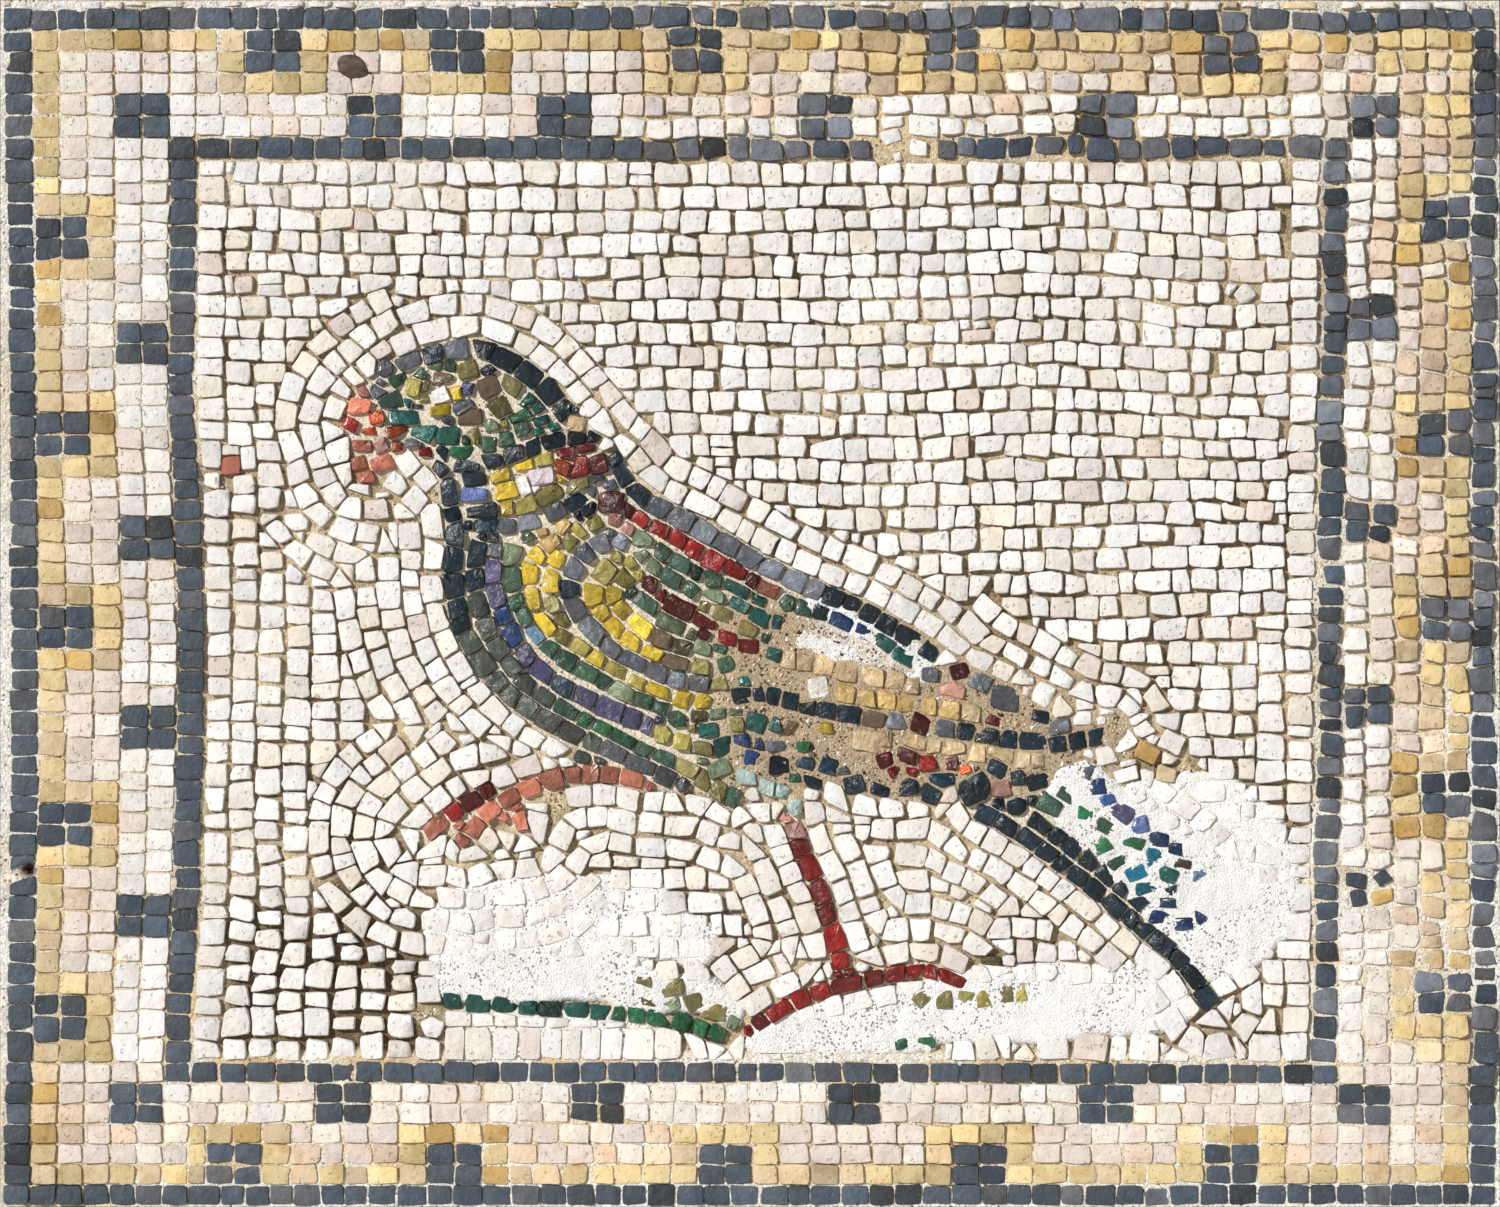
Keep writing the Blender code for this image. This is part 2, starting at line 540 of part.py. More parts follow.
def add_row(name, row, colour):
    """Add a row of tesserae as one body, with a V-shaped notch at each joint."""
    right_edge, left_edge = row
    count = len(right_edge) - 1
    flat = []
    for right_end, left_end in zip(right_edge, left_edge):
        for depth in (SEAT, FRONT + NOTCH_DEPTH):
            flat += [(*right_end, depth), (*left_end, depth)]
    for k in range(count):
        size = np.hypot(*(right_edge[k + 1] + left_edge[k + 1] - right_edge[k] - left_edge[k])) / 2
        cut = NOTCH_WIDTH / 2 / size
        for part in (cut if k else 0.0, 1.0 - (cut if k < count - 1 else 0.0)):
            for edge in (right_edge, left_edge):
                flat.append((*(edge[k] + part * (edge[k + 1] - edge[k])), FRONT))
    points = [(x, depth, z) for x, z, depth in flat]
    faces = []
    for k in range(count):
        back_r, back_l, floor_r, floor_l, next_r, next_l, far_r, far_l = range(4 * k, 4 * k + 8)
        a_r, a_l, b_r, b_l = range(4 * (count + 1) + 4 * k, 4 * (count + 1) + 4 * k + 4)
        faces += [
            (a_r, b_r, b_l, a_l),
            (floor_r, a_r, a_l, floor_l),
            (b_r, far_r, far_l, b_l),
            (back_l, next_l, next_r, back_r),
            (a_r, floor_r, far_r, b_r),
            (floor_r, back_r, next_r, far_r),
            (b_l, far_l, floor_l, a_l),
            (far_l, next_l, back_l, floor_l),
        ]
    last = 4 * count
    faces.append((0, 2, 3, 1))
    faces.append((last + 2, last, last + 1, last + 3))
    return add_object(name, points, faces, colour)


def build_picture(ground):
    """Add the bird's rows and patches, the repairs, and the white field around them."""
    rows, start, share = lay_out_rows(ground)
    left, right, bottom, top = ground
    margin = 4 * OUTLINE_STEP
    xs = np.arange(left - margin, right + margin, OUTLINE_STEP)
    zs = np.arange(bottom - margin, top + margin, OUTLINE_STEP)
    x, z = np.meshgrid(xs, zs)
    in_patches = {name for _, names in PATCHES.values() for name in names}
    bands = {name: row for name, row in rows.items() if name not in in_patches}
    to_bands = distance_to_rows(bands.values(), x, z)
    for name, row in bands.items():
        add_row(name, row, ROW_SHARES[name][0])

    taken = to_bands - JOINT
    for name, (colour, names) in PATCHES.items():
        patch = distance_to_rows([rows[key] for key in names], x, z) - ROW_CLOSING
        shape = np.maximum(patch, -taken)
        add_plate(name, largest(shape, xs, zs)[:1], colour)
        taken = np.minimum(taken, patch - JOINT)
    for name, points in REPAIR_SHARES.items():
        repair = distance_to_outline([start + share * np.array(point) for point in points], x, z)
        shape = np.maximum(repair, -taken)
        add_plate(name, largest(shape, xs, zs), "plaster")
        taken = np.minimum(taken, repair - JOINT)
    holes = outermost(outlines(without_slivers(taken, x, z, LEAST_WIDTH), xs, zs))
    add_plate("white_field", [rectangle(ground)] + holes, "white")


remove_all()
build_picture(build_border())
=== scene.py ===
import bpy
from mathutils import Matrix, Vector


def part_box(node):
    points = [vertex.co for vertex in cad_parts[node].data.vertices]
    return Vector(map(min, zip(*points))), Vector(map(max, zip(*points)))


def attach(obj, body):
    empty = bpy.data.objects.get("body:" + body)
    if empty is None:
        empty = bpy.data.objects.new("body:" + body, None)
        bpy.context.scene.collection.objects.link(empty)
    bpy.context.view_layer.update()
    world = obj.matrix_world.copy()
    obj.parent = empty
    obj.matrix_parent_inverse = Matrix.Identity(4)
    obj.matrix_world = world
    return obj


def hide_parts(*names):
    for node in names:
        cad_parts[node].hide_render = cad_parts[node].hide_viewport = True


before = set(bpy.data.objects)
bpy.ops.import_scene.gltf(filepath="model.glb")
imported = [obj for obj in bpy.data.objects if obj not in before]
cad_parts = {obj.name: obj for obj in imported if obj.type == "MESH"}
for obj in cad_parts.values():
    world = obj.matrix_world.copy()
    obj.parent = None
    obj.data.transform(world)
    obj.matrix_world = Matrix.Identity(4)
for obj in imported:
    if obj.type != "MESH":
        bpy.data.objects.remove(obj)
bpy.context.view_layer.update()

"""The looks of a mosaic panel: a bird walking to the left on a white field, in a stepped border.

Every tessera is a small stone of its own, laid in rows that follow the lines of the CAD model, and
set in a rough bed of sandy mortar. Lengths are metres, X runs to the right, Z upwards, and the
picture faces -Y.
"""
import collections
import math

import bpy
import numpy as np
from mathutils import Vector

MM = 0.001
random = np.random.default_rng(41)

# What the frame gives
panel_low, panel_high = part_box("mortar_bed")
line_low, line_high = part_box("outer_line")
field_low, field_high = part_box("white_field")
FRONT = line_low.y
ACROSS = 7
JOINT = 0.8 * MM
TESSERA_WIDTH = (field_low.x - JOINT - line_low.x) / ACROSS
TESSERA_HEIGHT = (field_low.z - JOINT - line_low.z) / ACROSS
BLOCK_TESSERAE = 2

# The bird's place: its beak's tip and its middle line, and its length
SPACE_BEFORE_BEAK = 56.8 * MM
SPACE_UNDER_GROUND_LINE = 3.2 * MM
BIRD_LENGTH = 350.2 * MM
FALL = 0.505
bird_start = np.array([field_low.x + SPACE_BEFORE_BEAK,
                       field_low.z + SPACE_UNDER_GROUND_LINE + FALL * BIRD_LENGTH])

# Where the border's blocks stand, as shares of the panel's side, from the left or from the bottom
OUTER_BLOCK_SHARES = {
    "top": (0.183, 0.305, 0.465, 0.635, 0.815),
    "bottom": (0.161, 0.303, 0.483, 0.653, 0.820),
    "left": (0.158, 0.317, 0.480, 0.640, 0.803),
    "right": (0.178, 0.340, 0.487, 0.640, 0.818),
}
INNER_BLOCK_SHARES = {
    "top": (0.250, 0.376, 0.552, 0.737),
    "bottom": (0.231, 0.398, 0.569, 0.737),
    "left": (0.241, 0.397, 0.554, 0.716),
    "right": (0.263, 0.416, 0.567, 0.734),
}

# The white field: sizes of its stones in level rows, in columns, and in the rows that follow the bird
FIELD_ROW = 9.2 * MM
FIELD_PIECE = 10.4 * MM
COLUMN_WIDTH = 11.0 * MM
RING_ROW = 9.0 * MM
RING_ROWS = 3

# Steps along the bird's rows and of the grid of free room, and half the widest gap between the bird's
# rows that its outline closes
GRID_STEP = 1.2 * MM
FREE_STEP = 1.0 * MM
CLOSING = 5.0 * MM

# Half the width of the narrowest gap that is filled, in the bird and in the white field
LEAST_ROOM = 1.35 * MM
LEAST_ROOM_WHITE = 1.6 * MM

# Points round each stone
RIM_POINTS = 12

# Colours as they look, in display values from 0 to 1
SHADES = {
    "white": (0.96, 0.95, 0.94),
    "grey_white": (0.925, 0.91, 0.895),
    "cream": (0.935, 0.91, 0.865),
    "pink": (0.895, 0.85, 0.82),
    "peach": (0.885, 0.80, 0.715),
    "tan": (0.86, 0.78, 0.65),
    "ochre": (0.875, 0.795, 0.61),
    "gold": (0.79, 0.665, 0.43),
    "slate_stone": (0.28, 0.325, 0.375),
    "slate": (0.36, 0.375, 0.405),
    "pale_slate": (0.43, 0.45, 0.49),
    "dark_slate": (0.22, 0.245, 0.27),
    "grey_green": (0.31, 0.335, 0.31),
    "navy": (0.09, 0.155, 0.20),
    "deep_blue": (0.08, 0.21, 0.30),
    "blue": (0.13, 0.23, 0.40),
    "bright_blue": (0.21, 0.33, 0.60),
    "sky_blue": (0.38, 0.46, 0.67),
    "violet": (0.31, 0.30, 0.43),
    "light_blue": (0.40, 0.51, 0.62),
    "sea_blue": (0.07, 0.38, 0.48),
    "teal": (0.12, 0.33, 0.31),
    "green": (0.23, 0.34, 0.28),
    "leaf_green": (0.15, 0.37, 0.25),
    "sage": (0.43, 0.49, 0.39),
    "olive": (0.48, 0.45, 0.28),
    "lime": (0.61, 0.57, 0.30),
    "yellow": (0.79, 0.68, 0.22),
    "brown": (0.41, 0.35, 0.28),
    "red": (0.50, 0.10, 0.09),
    "maroon": (0.32, 0.09, 0.10),
    "coral": (0.69, 0.42, 0.345),
    "rose": (0.74, 0.55, 0.51),
    "lilac": (0.86, 0.81, 0.86),
    "orange": (0.66, 0.27, 0.10),
    "sand": (0.77, 0.68, 0.535),
    "amber": (0.80, 0.68, 0.44),
    "pale_teal": (0.68, 0.77, 0.75),
    "dark_grit": (0.30, 0.25, 0.20),
}

# Rows of the bird: width, the points its middle passes through, how rough its pieces are from 0 to
# 1, and its colours with their shares. Widths and points are thousandths of the bird's length, from
# the tip of the beak and from the bird's middle line.
ROW_SHARES = {
    "crown_line": (22, [(34, 228), (50, 257), (75, 275), (111, 287), (151, 292), (192, 276),
        (230, 247), (254, 218), (270, 197)],
        0.35, "slate 3, navy 2, slate 1, navy 7"),
    "head_row_outer": (17, [(63, 245), (99, 265), (149, 271), (185, 255), (212, 230), (230, 202)],
        0.9, "green 2, sage 1, green 2, navy 1, olive 2, teal 2"),
    "head_row_middle": (16, [(51, 224), (81, 242), (110, 252), (149, 252), (177, 237), (196, 216),
        (206, 193)],
        1.0, "teal 2, olive 2, green 1, olive 2, brown 1, green 2"),
    "eye": (17, [(106, 233), (124, 233)],
        0.6, "white 1"),
    "head_row_inner": (16, [(144, 234), (163, 221), (175, 204), (182, 185)],
        1.0, "olive 1, brown 1, olive 2, green 1"),
    "cheek_row": (16, [(56, 209), (82, 218), (110, 213), (135, 214), (149, 197), (160, 179)],
        1.0, "olive 1, slate 1, yellow 1, slate 1, green 2, olive 1"),
    "cheek_row_lower": (16, [(74, 200), (101, 197), (124, 193), (138, 177)],
        1.0, "navy 1, teal 2, navy 1, green 1"),
    "beak_upper": (16, [(24, 238), (13, 218), (8, 197)],
        0.5, "coral 2, red 1"),
    "beak_orange": (14, [(31, 213), (46, 201), (66, 188)],
        0.8, "orange 2, coral 1"),
    "throat_front": (16, [(17, 184), (22, 164), (26, 146)],
        0.5, "coral 2"),
    "throat_row": (15, [(39, 185), (44, 167), (49, 152)],
        0.5, "coral 2"),
    "throat_tan": (15, [(63, 172), (81, 171), (99, 177)],
        0.8, "sand 1, orange 1, rose 1"),
    "collar_top_line": (17, [(108, 179), (125, 159), (156, 160), (204, 173), (247, 188), (279, 189)],
        0.4, "navy 7"),
    "collar_row_top": (18, [(135, 138), (176, 147), (224, 162), (261, 173), (290, 173)],
        0.5, "navy 1, yellow 3, lime 1, coral 1, red 1, maroon 1"),
    "collar_row_middle": (18, [(144, 121), (197, 131), (242, 148), (286, 156), (299, 161)],
        0.5, "light_blue 1, yellow 2, white 1, yellow 1, red 1, maroon 1"),
    "collar_row_lower": (17, [(140, 105), (179, 106), (220, 115), (258, 134), (297, 147)],
        0.5, "navy 1, yellow 1, lime 2, olive 1, slate 1"),
    "collar_bottom_line": (17, [(149, 89), (199, 90), (242, 103), (281, 125), (308, 136)],
        0.4, "navy 1, pale_slate 3, navy 2, slate 1"),
    "back_line": (22, [(312, 156), (338, 122), (395, 92), (463, 52), (531, 18), (594, -9), (637, -34),
        (681, -61)],
        0.35, "navy 2, slate 3, pale_slate 8, navy 7"),
    "back_red_line": (18, [(306, 119), (338, 98), (369, 80), (410, 57), (453, 34), (499, 11)],
        0.6, "maroon 1, red 5, maroon 1, coral 1"),
    "back_blue_line": (16, [(516, -3), (549, -13), (600, -34), (653, -69)],
        0.6, "green 1, navy 1, blue 3, teal 2"),
    "breast_line_outer": (20, [(118, 143), (122, 111), (129, 84), (126, 49), (127, 15), (133, -19),
        (151, -55), (180, -95), (221, -128), (289, -162), (347, -188), (379, -206)],
        0.35, "navy 7, grey_green 8, slate 3"),
    "breast_line_inner": (20, [(156, 71), (149, 44), (152, 10), (164, -28), (183, -63), (213, -98),
        (249, -122), (292, -144), (338, -166), (383, -186), (423, -210), (452, -226)],
        0.45, "navy 2, grey_green 7, green 1, leaf_green 3, green 3, olive 2, green 1"),
    "violet_band": (19, [(173, 67), (170, 36), (176, 2), (192, -37), (217, -71), (254, -97),
        (298, -118), (355, -143)],
        0.6, "slate 1, violet 2, blue 2, violet 2, light_blue 1, navy 1, violet 4"),
    "green_band": (19, [(198, 69), (190, 40), (196, 7), (213, -28), (242, -57), (288, -84),
        (333, -108), (374, -123)],
        0.7, "sage 1, green 3, sage 1, light_blue 1, green 4, sage 1, green 2"),
    "yellow_band": (19, [(247, 75), (222, 57), (212, 30), (217, -4), (234, -31), (265, -48),
        (303, -73), (349, -98), (397, -113)],
        0.6, "gold 1, yellow 5, lime 2, yellow 1, lime 2, yellow 2"),
    "shoulder_line": (20, [(306, 71), (281, 60), (263, 38), (258, 12), (270, -15), (297, -45),
        (336, -71), (377, -87), (420, -95)],
        0.35, "pale_slate 3, navy 2, slate 9"),
    "shoulder_yellow_gap": (18, [(275, 87), (254, 67), (239, 43), (235, 15), (243, -11)],
        0.7, "lime 1, yellow 2, olive 1"),
    "wing_yellow_outer": (20, [(308, 47), (290, 30), (284, 7), (296, -16), (320, -40), (354, -60),
        (392, -72), (420, -75)],
        0.5, "lime 2, yellow 6, brown 1, lime 1"),
    "wing_yellow_inner": (20, [(329, 36), (312, 23), (308, 4), (322, -15), (349, -36), (388, -52),
        (429, -59)],
        0.6, "lime 1, yellow 4, brown 2, olive 1"),
    "wing_green_top": (17, [(320, 93), (349, 69), (379, 48), (413, 31), (447, 18), (486, -2)],
        0.8, "rose 1, sage 1, green 3, teal 2"),
    "wing_green_middle": (17, [(334, 61), (361, 37), (395, 15), (436, 2), (474, -14), (504, -26)],
        0.9, "sage 2, green 2, sage 1, teal 3"),
    "wing_sage_row": (17, [(336, 13), (349, -6), (379, -26), (413, -43), (440, -55)],
        0.8, "green 1, sage 3, green 1"),
    "wing_red_row": (16, [(358, 7), (390, -11), (424, -32), (465, -49)],
        0.8, "maroon 3, red 2"),
    "wing_olive_row": (16, [(399, -1), (431, -16), (465, -32), (490, -44)],
        1.0, "lime 1, olive 3, green 1"),
    "feather_tan_row": (20, [(484, -61), (534, -68), (588, -80), (639, -90), (668, -96)],
        0.5, "sand 6"),
    "feather_ochre_row": (18, [(563, -103), (611, -111), (668, -118), (730, -128)],
        0.5, "amber 5, sand 1"),
    "feather_dark_line": (19, [(440, -105), (477, -103), (523, -114), (585, -128), (656, -138),
        (730, -150), (804, -160), (873, -152)],
        0.6, "navy 6, brown 1, slate 3, navy 6"),
    "feather_lower_tan": (18, [(595, -152), (656, -160), (730, -171), (804, -181)],
        0.6, "sand 5, tan 1"),
    "feather_red_row": (16, [(611, -177), (651, -180), (696, -187)],
        1.0, "maroon 1, red 1, maroon 1, orange 1"),
    "under_line": (19, [(495, -184), (552, -188), (588, -205), (639, -211), (691, -205), (747, -199),
        (788, -202)],
        0.8, "navy 9"),
    "rump_row": (17, [(691, -78), (725, -92), (759, -109), (802, -130)],
        0.8, "maroon 1, rose 1, slate 3"),
    "belly_row_top": (18, [(395, -135), (431, -130), (470, -135), (520, -144)],
        1.0, "olive 1, sage 2, teal 1, brown 1"),
    "belly_row_middle": (18, [(374, -156), (413, -163), (452, -160), (493, -164)],
        1.0, "lime 1, olive 2, teal 1, blue 1"),
    "belly_row_low": (18, [(424, -185), (452, -196), (484, -210), (511, -219)],
        0.9, "sage 1, pale_teal 3"),
    "tail_line": (17, [(722, -236), (767, -260), (823, -299), (870, -337), (918, -377), (957, -409),
        (978, -437), (994, -462)],
        0.5, "navy 12"),
    "tail_line_inner": (17, [(782, -246), (829, -278), (879, -318), (916, -349)],
        0.6, "navy 6"),
    "tail_blue_row": (16, [(843, -187), (861, -216), (904, -250), (943, -280), (973, -310)],
        0.8, "slate 1, blue 4, violet 1, light_blue 1"),
    "tail_green_row": (16, [(802, -226), (844, -237), (870, -254), (900, -275)],
        1.0, "green 2, teal 2"),
    "tail_teal_row": (17, [(861, -276), (895, -299), (927, -319), (959, -356)],
        1.0, "teal 2, pale_teal 1, teal 1, blue 1"),
    "standing_leg": (19, [(513, -249), (527, -288), (545, -329), (561, -377), (571, -419)],
        0.5, "rose 1, red 7"),
    "standing_foot": (15, [(469, -486), (501, -464), (554, -441), (600, -431), (662, -419),
        (711, -437)],
        0.4, "red 9"),
    "raised_leg": (17, [(345, -204), (287, -195), (232, -204), (190, -222), (158, -246), (141, -267)],
        0.4, "coral 9"),
    "raised_toe": (15, [(160, -219), (135, -233), (93, -265)],
        0.6, "maroon 1, red 1, coral 1"),
    "raised_toe_back": (15, [(198, -238), (207, -262)],
        0.6, "coral 1"),
    "ground_line": (15, [(114, -454), (184, -460), (275, -466), (355, -473), (408, -485), (438, -497)],
        0.6, "teal 6, leaf_green 4"),
    "tuft_left": (16, [(341, -429), (374, -440), (420, -461), (449, -476)],
        0.8, "olive 4, teal 1"),
    "tuft_right": (16, [(659, -451), (708, -451), (776, -447)],
        0.6, "olive 5"),
}

# Single stones: x and z of the middle, width and height in mm, turn in degrees, and shade
PLACED = {
    "head_feathers": [(-123.8, 83.2, 6.6, 5.6, 18, "white"), (-124.0, 77.6, 7.6, 4.6, 0, "yellow"),
        (-118.0, 84.0, 4.4, 4.9, 10, "yellow"), (-113.8, 85.8, 4.8, 4.4, 0, "violet"),
        (-115.2, 79.3, 8.0, 4.8, 30, "slate"), (-104.4, 86.3, 9.0, 8.4, 20, "brown"),
        (-100.3, 78.4, 7.8, 7.4, 30, "olive"), (-112.0, 74.4, 9.6, 5.4, 5, "brown"),
        (-103.6, 71.4, 7.4, 5.6, 10, "sage"), (-92.4, 75.8, 8.6, 5.4, 15, "leaf_green"),
        (-138.4, 74.8, 12.0, 5.6, 4, "teal"), (-131.4, 69.6, 9.4, 6.4, -20, "teal"),
        (-120.4, 68.0, 9.4, 7.4, 0, "teal"), (-115.2, 61.8, 9.0, 6.8, -10, "leaf_green"),
        (-134.6, 64.6, 7.8, 3.8, 8, "slate"), (-143.6, 80.6, 8.4, 6.6, 30, "green"),
        (-135.0, 86.6, 5.0, 7.4, -10, "lime"), (-140.0, 89.0, 7.0, 4.6, 20, "green"),
        (-122.8, 90.0, 8.8, 4.8, -8, "brown"), (-113.0, 93.6, 7.6, 6.4, 15, "olive"),
        (-88.4, 80.4, 6.4, 5.8, 40, "teal"), (-104.2, 64.0, 6.4, 6.0, 0, "green")],
    "beak": [(-150.0, 74.9, 6.2, 4.4, 12, "orange"), (-152.8, 69.8, 5.4, 4.4, 0, "orange"),
        (-141.4, 69.4, 8.2, 4.4, 12, "orange"), (-160.2, 71.9, 5.0, 5.0, -30, "red"),
        (-156.4, 77.6, 8.8, 7.2, -15, "coral"), (-154.4, 84.4, 4.2, 5.6, 20, "coral"),
        (-155.2, 63.2, 7.4, 5.0, 0, "coral"), (-146.8, 55.8, 8.2, 5.8, 25, "coral"),
        (-156.4, 56.4, 6.4, 5.4, 10, "coral"), (-130.4, 61.0, 5.2, 4.2, 10, "red"),
        (-148.0, 62.6, 6.4, 4.8, 20, "rose"), (-141.0, 62.8, 5.0, 4.2, 0, "orange"),
        (-153.4, 51.0, 8.0, 3.6, 0, "coral")],
    "collar": [(-110.2, 43.6, 11.6, 4.6, 4, "sky_blue"), (-83.5, 50.6, 9.6, 6.2, 8, "lilac"),
        (-75.4, 54.6, 7.0, 6.2, -20, "orange"), (-55.6, 41.2, 9.6, 7.8, 0, "maroon"),
        (-68.6, 55.2, 7.4, 7.8, 10, "red"), (-61.4, 55.4, 8.0, 7.2, 15, "maroon")],
    "crown_line": [(-69.8, 71.8, 6.6, 5.0, -10, "sand")],
    "wing_green_feathers": [(-28.6, -1.6, 13.0, 6.2, -24, "maroon"),
        (-20.6, -6.6, 8.0, 4.6, -25, "maroon"), (-9.6, -13.6, 7.6, 5.0, -10, "red"),
        (-0.6, -16.8, 9.0, 5.4, -5, "red"), (-18.2, -11.6, 4.8, 4.2, -30, "maroon"),
        (-31.6, -8.6, 12.6, 6.2, -25, "sage"), (-19.0, -17.2, 7.4, 5.4, -10, "sage"),
        (-11.0, -4.4, 8.4, 6.0, -20, "olive"), (9.4, -20.6, 6.0, 4.8, -15, "teal"),
        (-9.6, -24.4, 6.6, 5.8, 20, "green"), (-2.4, -30.8, 4.6, 4.4, 0, "teal"),
        (27.4, -33.6, 7.6, 7.4, 5, "white"), (-12.2, -31.4, 6.0, 5.6, 0, "olive")],
    "belly_feathers": [(0.7, -62.4, 6.6, 5.4, -10, "blue"), (-2.6, -55.6, 6.2, 5.0, 10, "blue"),
        (10.4, -57.4, 8.0, 4.2, 5, "slate"), (21.6, -57.6, 4.4, 4.4, 0, "leaf_green"),
        (30.4, -50.2, 5.4, 4.6, 0, "yellow"), (-10.0, -57.0, 8.0, 7.6, 20, "teal"),
        (-16.6, -50.6, 8.2, 6.0, 10, "teal"), (-7.0, -50.0, 9.0, 8.4, 0, "olive"),
        (-18.6, -58.4, 9.6, 5.6, -10, "olive"), (-12.4, -65.6, 9.4, 6.6, 15, "sage"),
        (18.0, -69.6, 4.4, 4.2, 0, "leaf_green")],
    "rump_feathers": [(54.4, -62.2, 6.2, 5.2, 20, "maroon"),
        (62.4, -61.2, 8.4, 5.6, -15, "maroon"), (71.2, -63.6, 6.6, 5.4, 10, "red"),
        (80.0, -64.2, 6.6, 4.6, 5, "maroon"), (57.8, -66.8, 4.4, 4.0, 30, "red"),
        (65.2, -67.4, 4.8, 3.8, -10, "red"), (86.4, -66.8, 4.6, 2.8, 20, "orange"),
        (100.4, -74.0, 7.4, 5.6, 10, "rose"), (68.8, -48.4, 7.4, 6.6, -30, "maroon"),
        (97.0, -46.8, 5.0, 4.4, -20, "maroon"), (46.8, -54.4, 10.8, 8.4, -8, "sand"),
        (66.0, -55.6, 9.6, 6.0, 0, "sand")],
    "rump_row": [(91.4, -31.4, 9.2, 5.6, -25, "slate"), (83.6, -27.2, 7.0, 5.8, 15, "maroon"),
        (81.0, -34.0, 10.6, 6.2, -10, "rose"), (72.0, -28.6, 7.0, 4.6, -5, "slate"),
        (101.8, -37.6, 10.4, 9.0, -10, "slate"), (116.2, -44.8, 7.2, 4.4, -10, "navy"),
        (123.4, -49.6, 9.0, 4.6, 15, "slate")],
    "under_line": [(11.4, -64.8, 7.6, 7.4, 0, "navy"), (21.8, -63.6, 6.8, 4.8, -15, "navy"),
        (31.6, -64.8, 7.4, 5.8, -20, "navy"), (42.2, -72.6, 7.8, 7.0, 10, "navy"),
        (52.2, -74.6, 8.2, 4.2, -20, "navy"), (62.6, -74.0, 8.6, 7.0, 12, "navy"),
        (71.6, -76.4, 8.2, 6.8, -30, "navy"), (77.0, -69.8, 10.6, 9.4, 10, "deep_blue"),
        (90.2, -73.8, 12.4, 10.0, 30, "navy"), (98.6, -66.2, 7.4, 6.8, -25, "navy"),
        (106.0, -69.6, 7.8, 5.4, 10, "navy"), (115.4, -71.2, 7.6, 6.2, 15, "navy"),
        (24.8, -71.4, 8.6, 2.8, -15, "navy"), (36.4, -67.8, 6.4, 3.4, 25, "grey_green")],
    "tail_blue_row": [(134.3, -66.6, 7.8, 6.8, -25, "slate"), (137.4, -73.4, 9.4, 6.2, 10, "blue"),
        (141.9, -78.3, 7.6, 5.2, 25, "bright_blue"), (148.2, -83.0, 11.0, 7.2, -30, "violet"),
        (155.3, -88.7, 7.6, 6.0, 15, "sky_blue"), (163.6, -93.9, 8.2, 5.4, -20, "blue"),
        (169.6, -98.6, 6.4, 4.6, -10, "blue"), (173.5, -103.8, 6.6, 4.4, -10, "brown"),
        (179.0, -108.6, 7.2, 4.2, 25, "light_blue"), (168.1, -114.9, 4.6, 3.0, 0, "navy"),
        (166.4, -119.7, 7.2, 4.4, 0, "deep_blue"), (163.8, -125.1, 7.4, 5.4, -20, "blue"),
        (173.3, -127.9, 8.8, 5.0, 5, "blue"), (179.2, -125.1, 5.6, 4.6, -30, "blue")],
    "tail_feathers": [(119.4, -80.4, 9.6, 6.4, -30, "green"),
        (126.6, -77.4, 7.6, 5.6, -30, "green"), (134.7, -83.7, 7.6, 5.0, -10, "leaf_green"),
        (143.4, -89.8, 9.6, 5.6, -25, "green"), (140.0, -96.9, 8.4, 7.6, 30, "leaf_green"),
        (153.4, -95.4, 8.4, 4.6, -10, "leaf_green"), (147.6, -103.4, 9.0, 5.4, 30, "green"),
        (161.0, -101.0, 9.4, 7.6, -45, "sea_blue"), (153.4, -107.2, 8.8, 7.2, 20, "sea_blue"),
        (158.9, -112.4, 9.6, 6.8, 10, "sea_blue"), (167.0, -108.0, 8.4, 5.4, -30, "teal"),
        (132.0, -76.8, 3.2, 2.8, 10, "green")],
    "ground_line": [(60.7, -176.4, 5.0, 3.2, 10, "leaf_green"),
        (69.8, -175.9, 8.2, 4.8, 0, "leaf_green")],
    "tuft_left": [(-42.3, -151.7, 6.6, 4.2, -10, "olive"), (-31.1, -154.3, 10.4, 5.2, 15, "olive"),
        (-40.4, -159.6, 6.0, 4.8, 0, "olive"), (-31.8, -160.8, 7.2, 4.4, 20, "sage"),
        (-22.0, -159.2, 7.6, 6.6, 25, "olive"), (-14.4, -163.0, 9.2, 6.2, -15, "olive"),
        (-6.9, -168.1, 5.4, 4.6, -30, "sage")],
    "tuft_right": [(69.4, -157.6, 7.0, 4.8, 40, "olive"), (77.8, -158.8, 5.6, 7.2, 0, "olive"),
        (85.8, -158.2, 6.0, 7.2, -8, "olive"), (93.3, -157.8, 5.4, 7.2, 4, "lime"),
        (102.4, -156.3, 5.8, 6.8, 0, "olive"), (108.7, -155.8, 4.6, 6.4, 4, "lime"),
        (96.1, -142.9, 7.8, 4.2, 0, "olive")],
    "white_field": [(-136.9, 55.6, 8.6, 9.4, 40, "white"), (-130.0, 49.6, 7.4, 8.0, 45, "white"),
        (-141.6, 47.8, 8.4, 8.6, 50, "white"), (-133.6, 41.8, 10.2, 8.8, 48, "grey_white"),
        (-207.6, 55.4, 7.6, 8.2, 4, "coral"), (159.0, -59.8, 9.8, 7.4, -25, "gold"),
        (166.4, -67.8, 8.2, 6.2, -12, "tan"), (149.2, -54.0, 9.4, 8.2, 30, "white"),
        (157.0, -50.0, 9.2, 6.8, 35, "white"), (168.4, -55.2, 9.8, 8.0, -25, "white"),
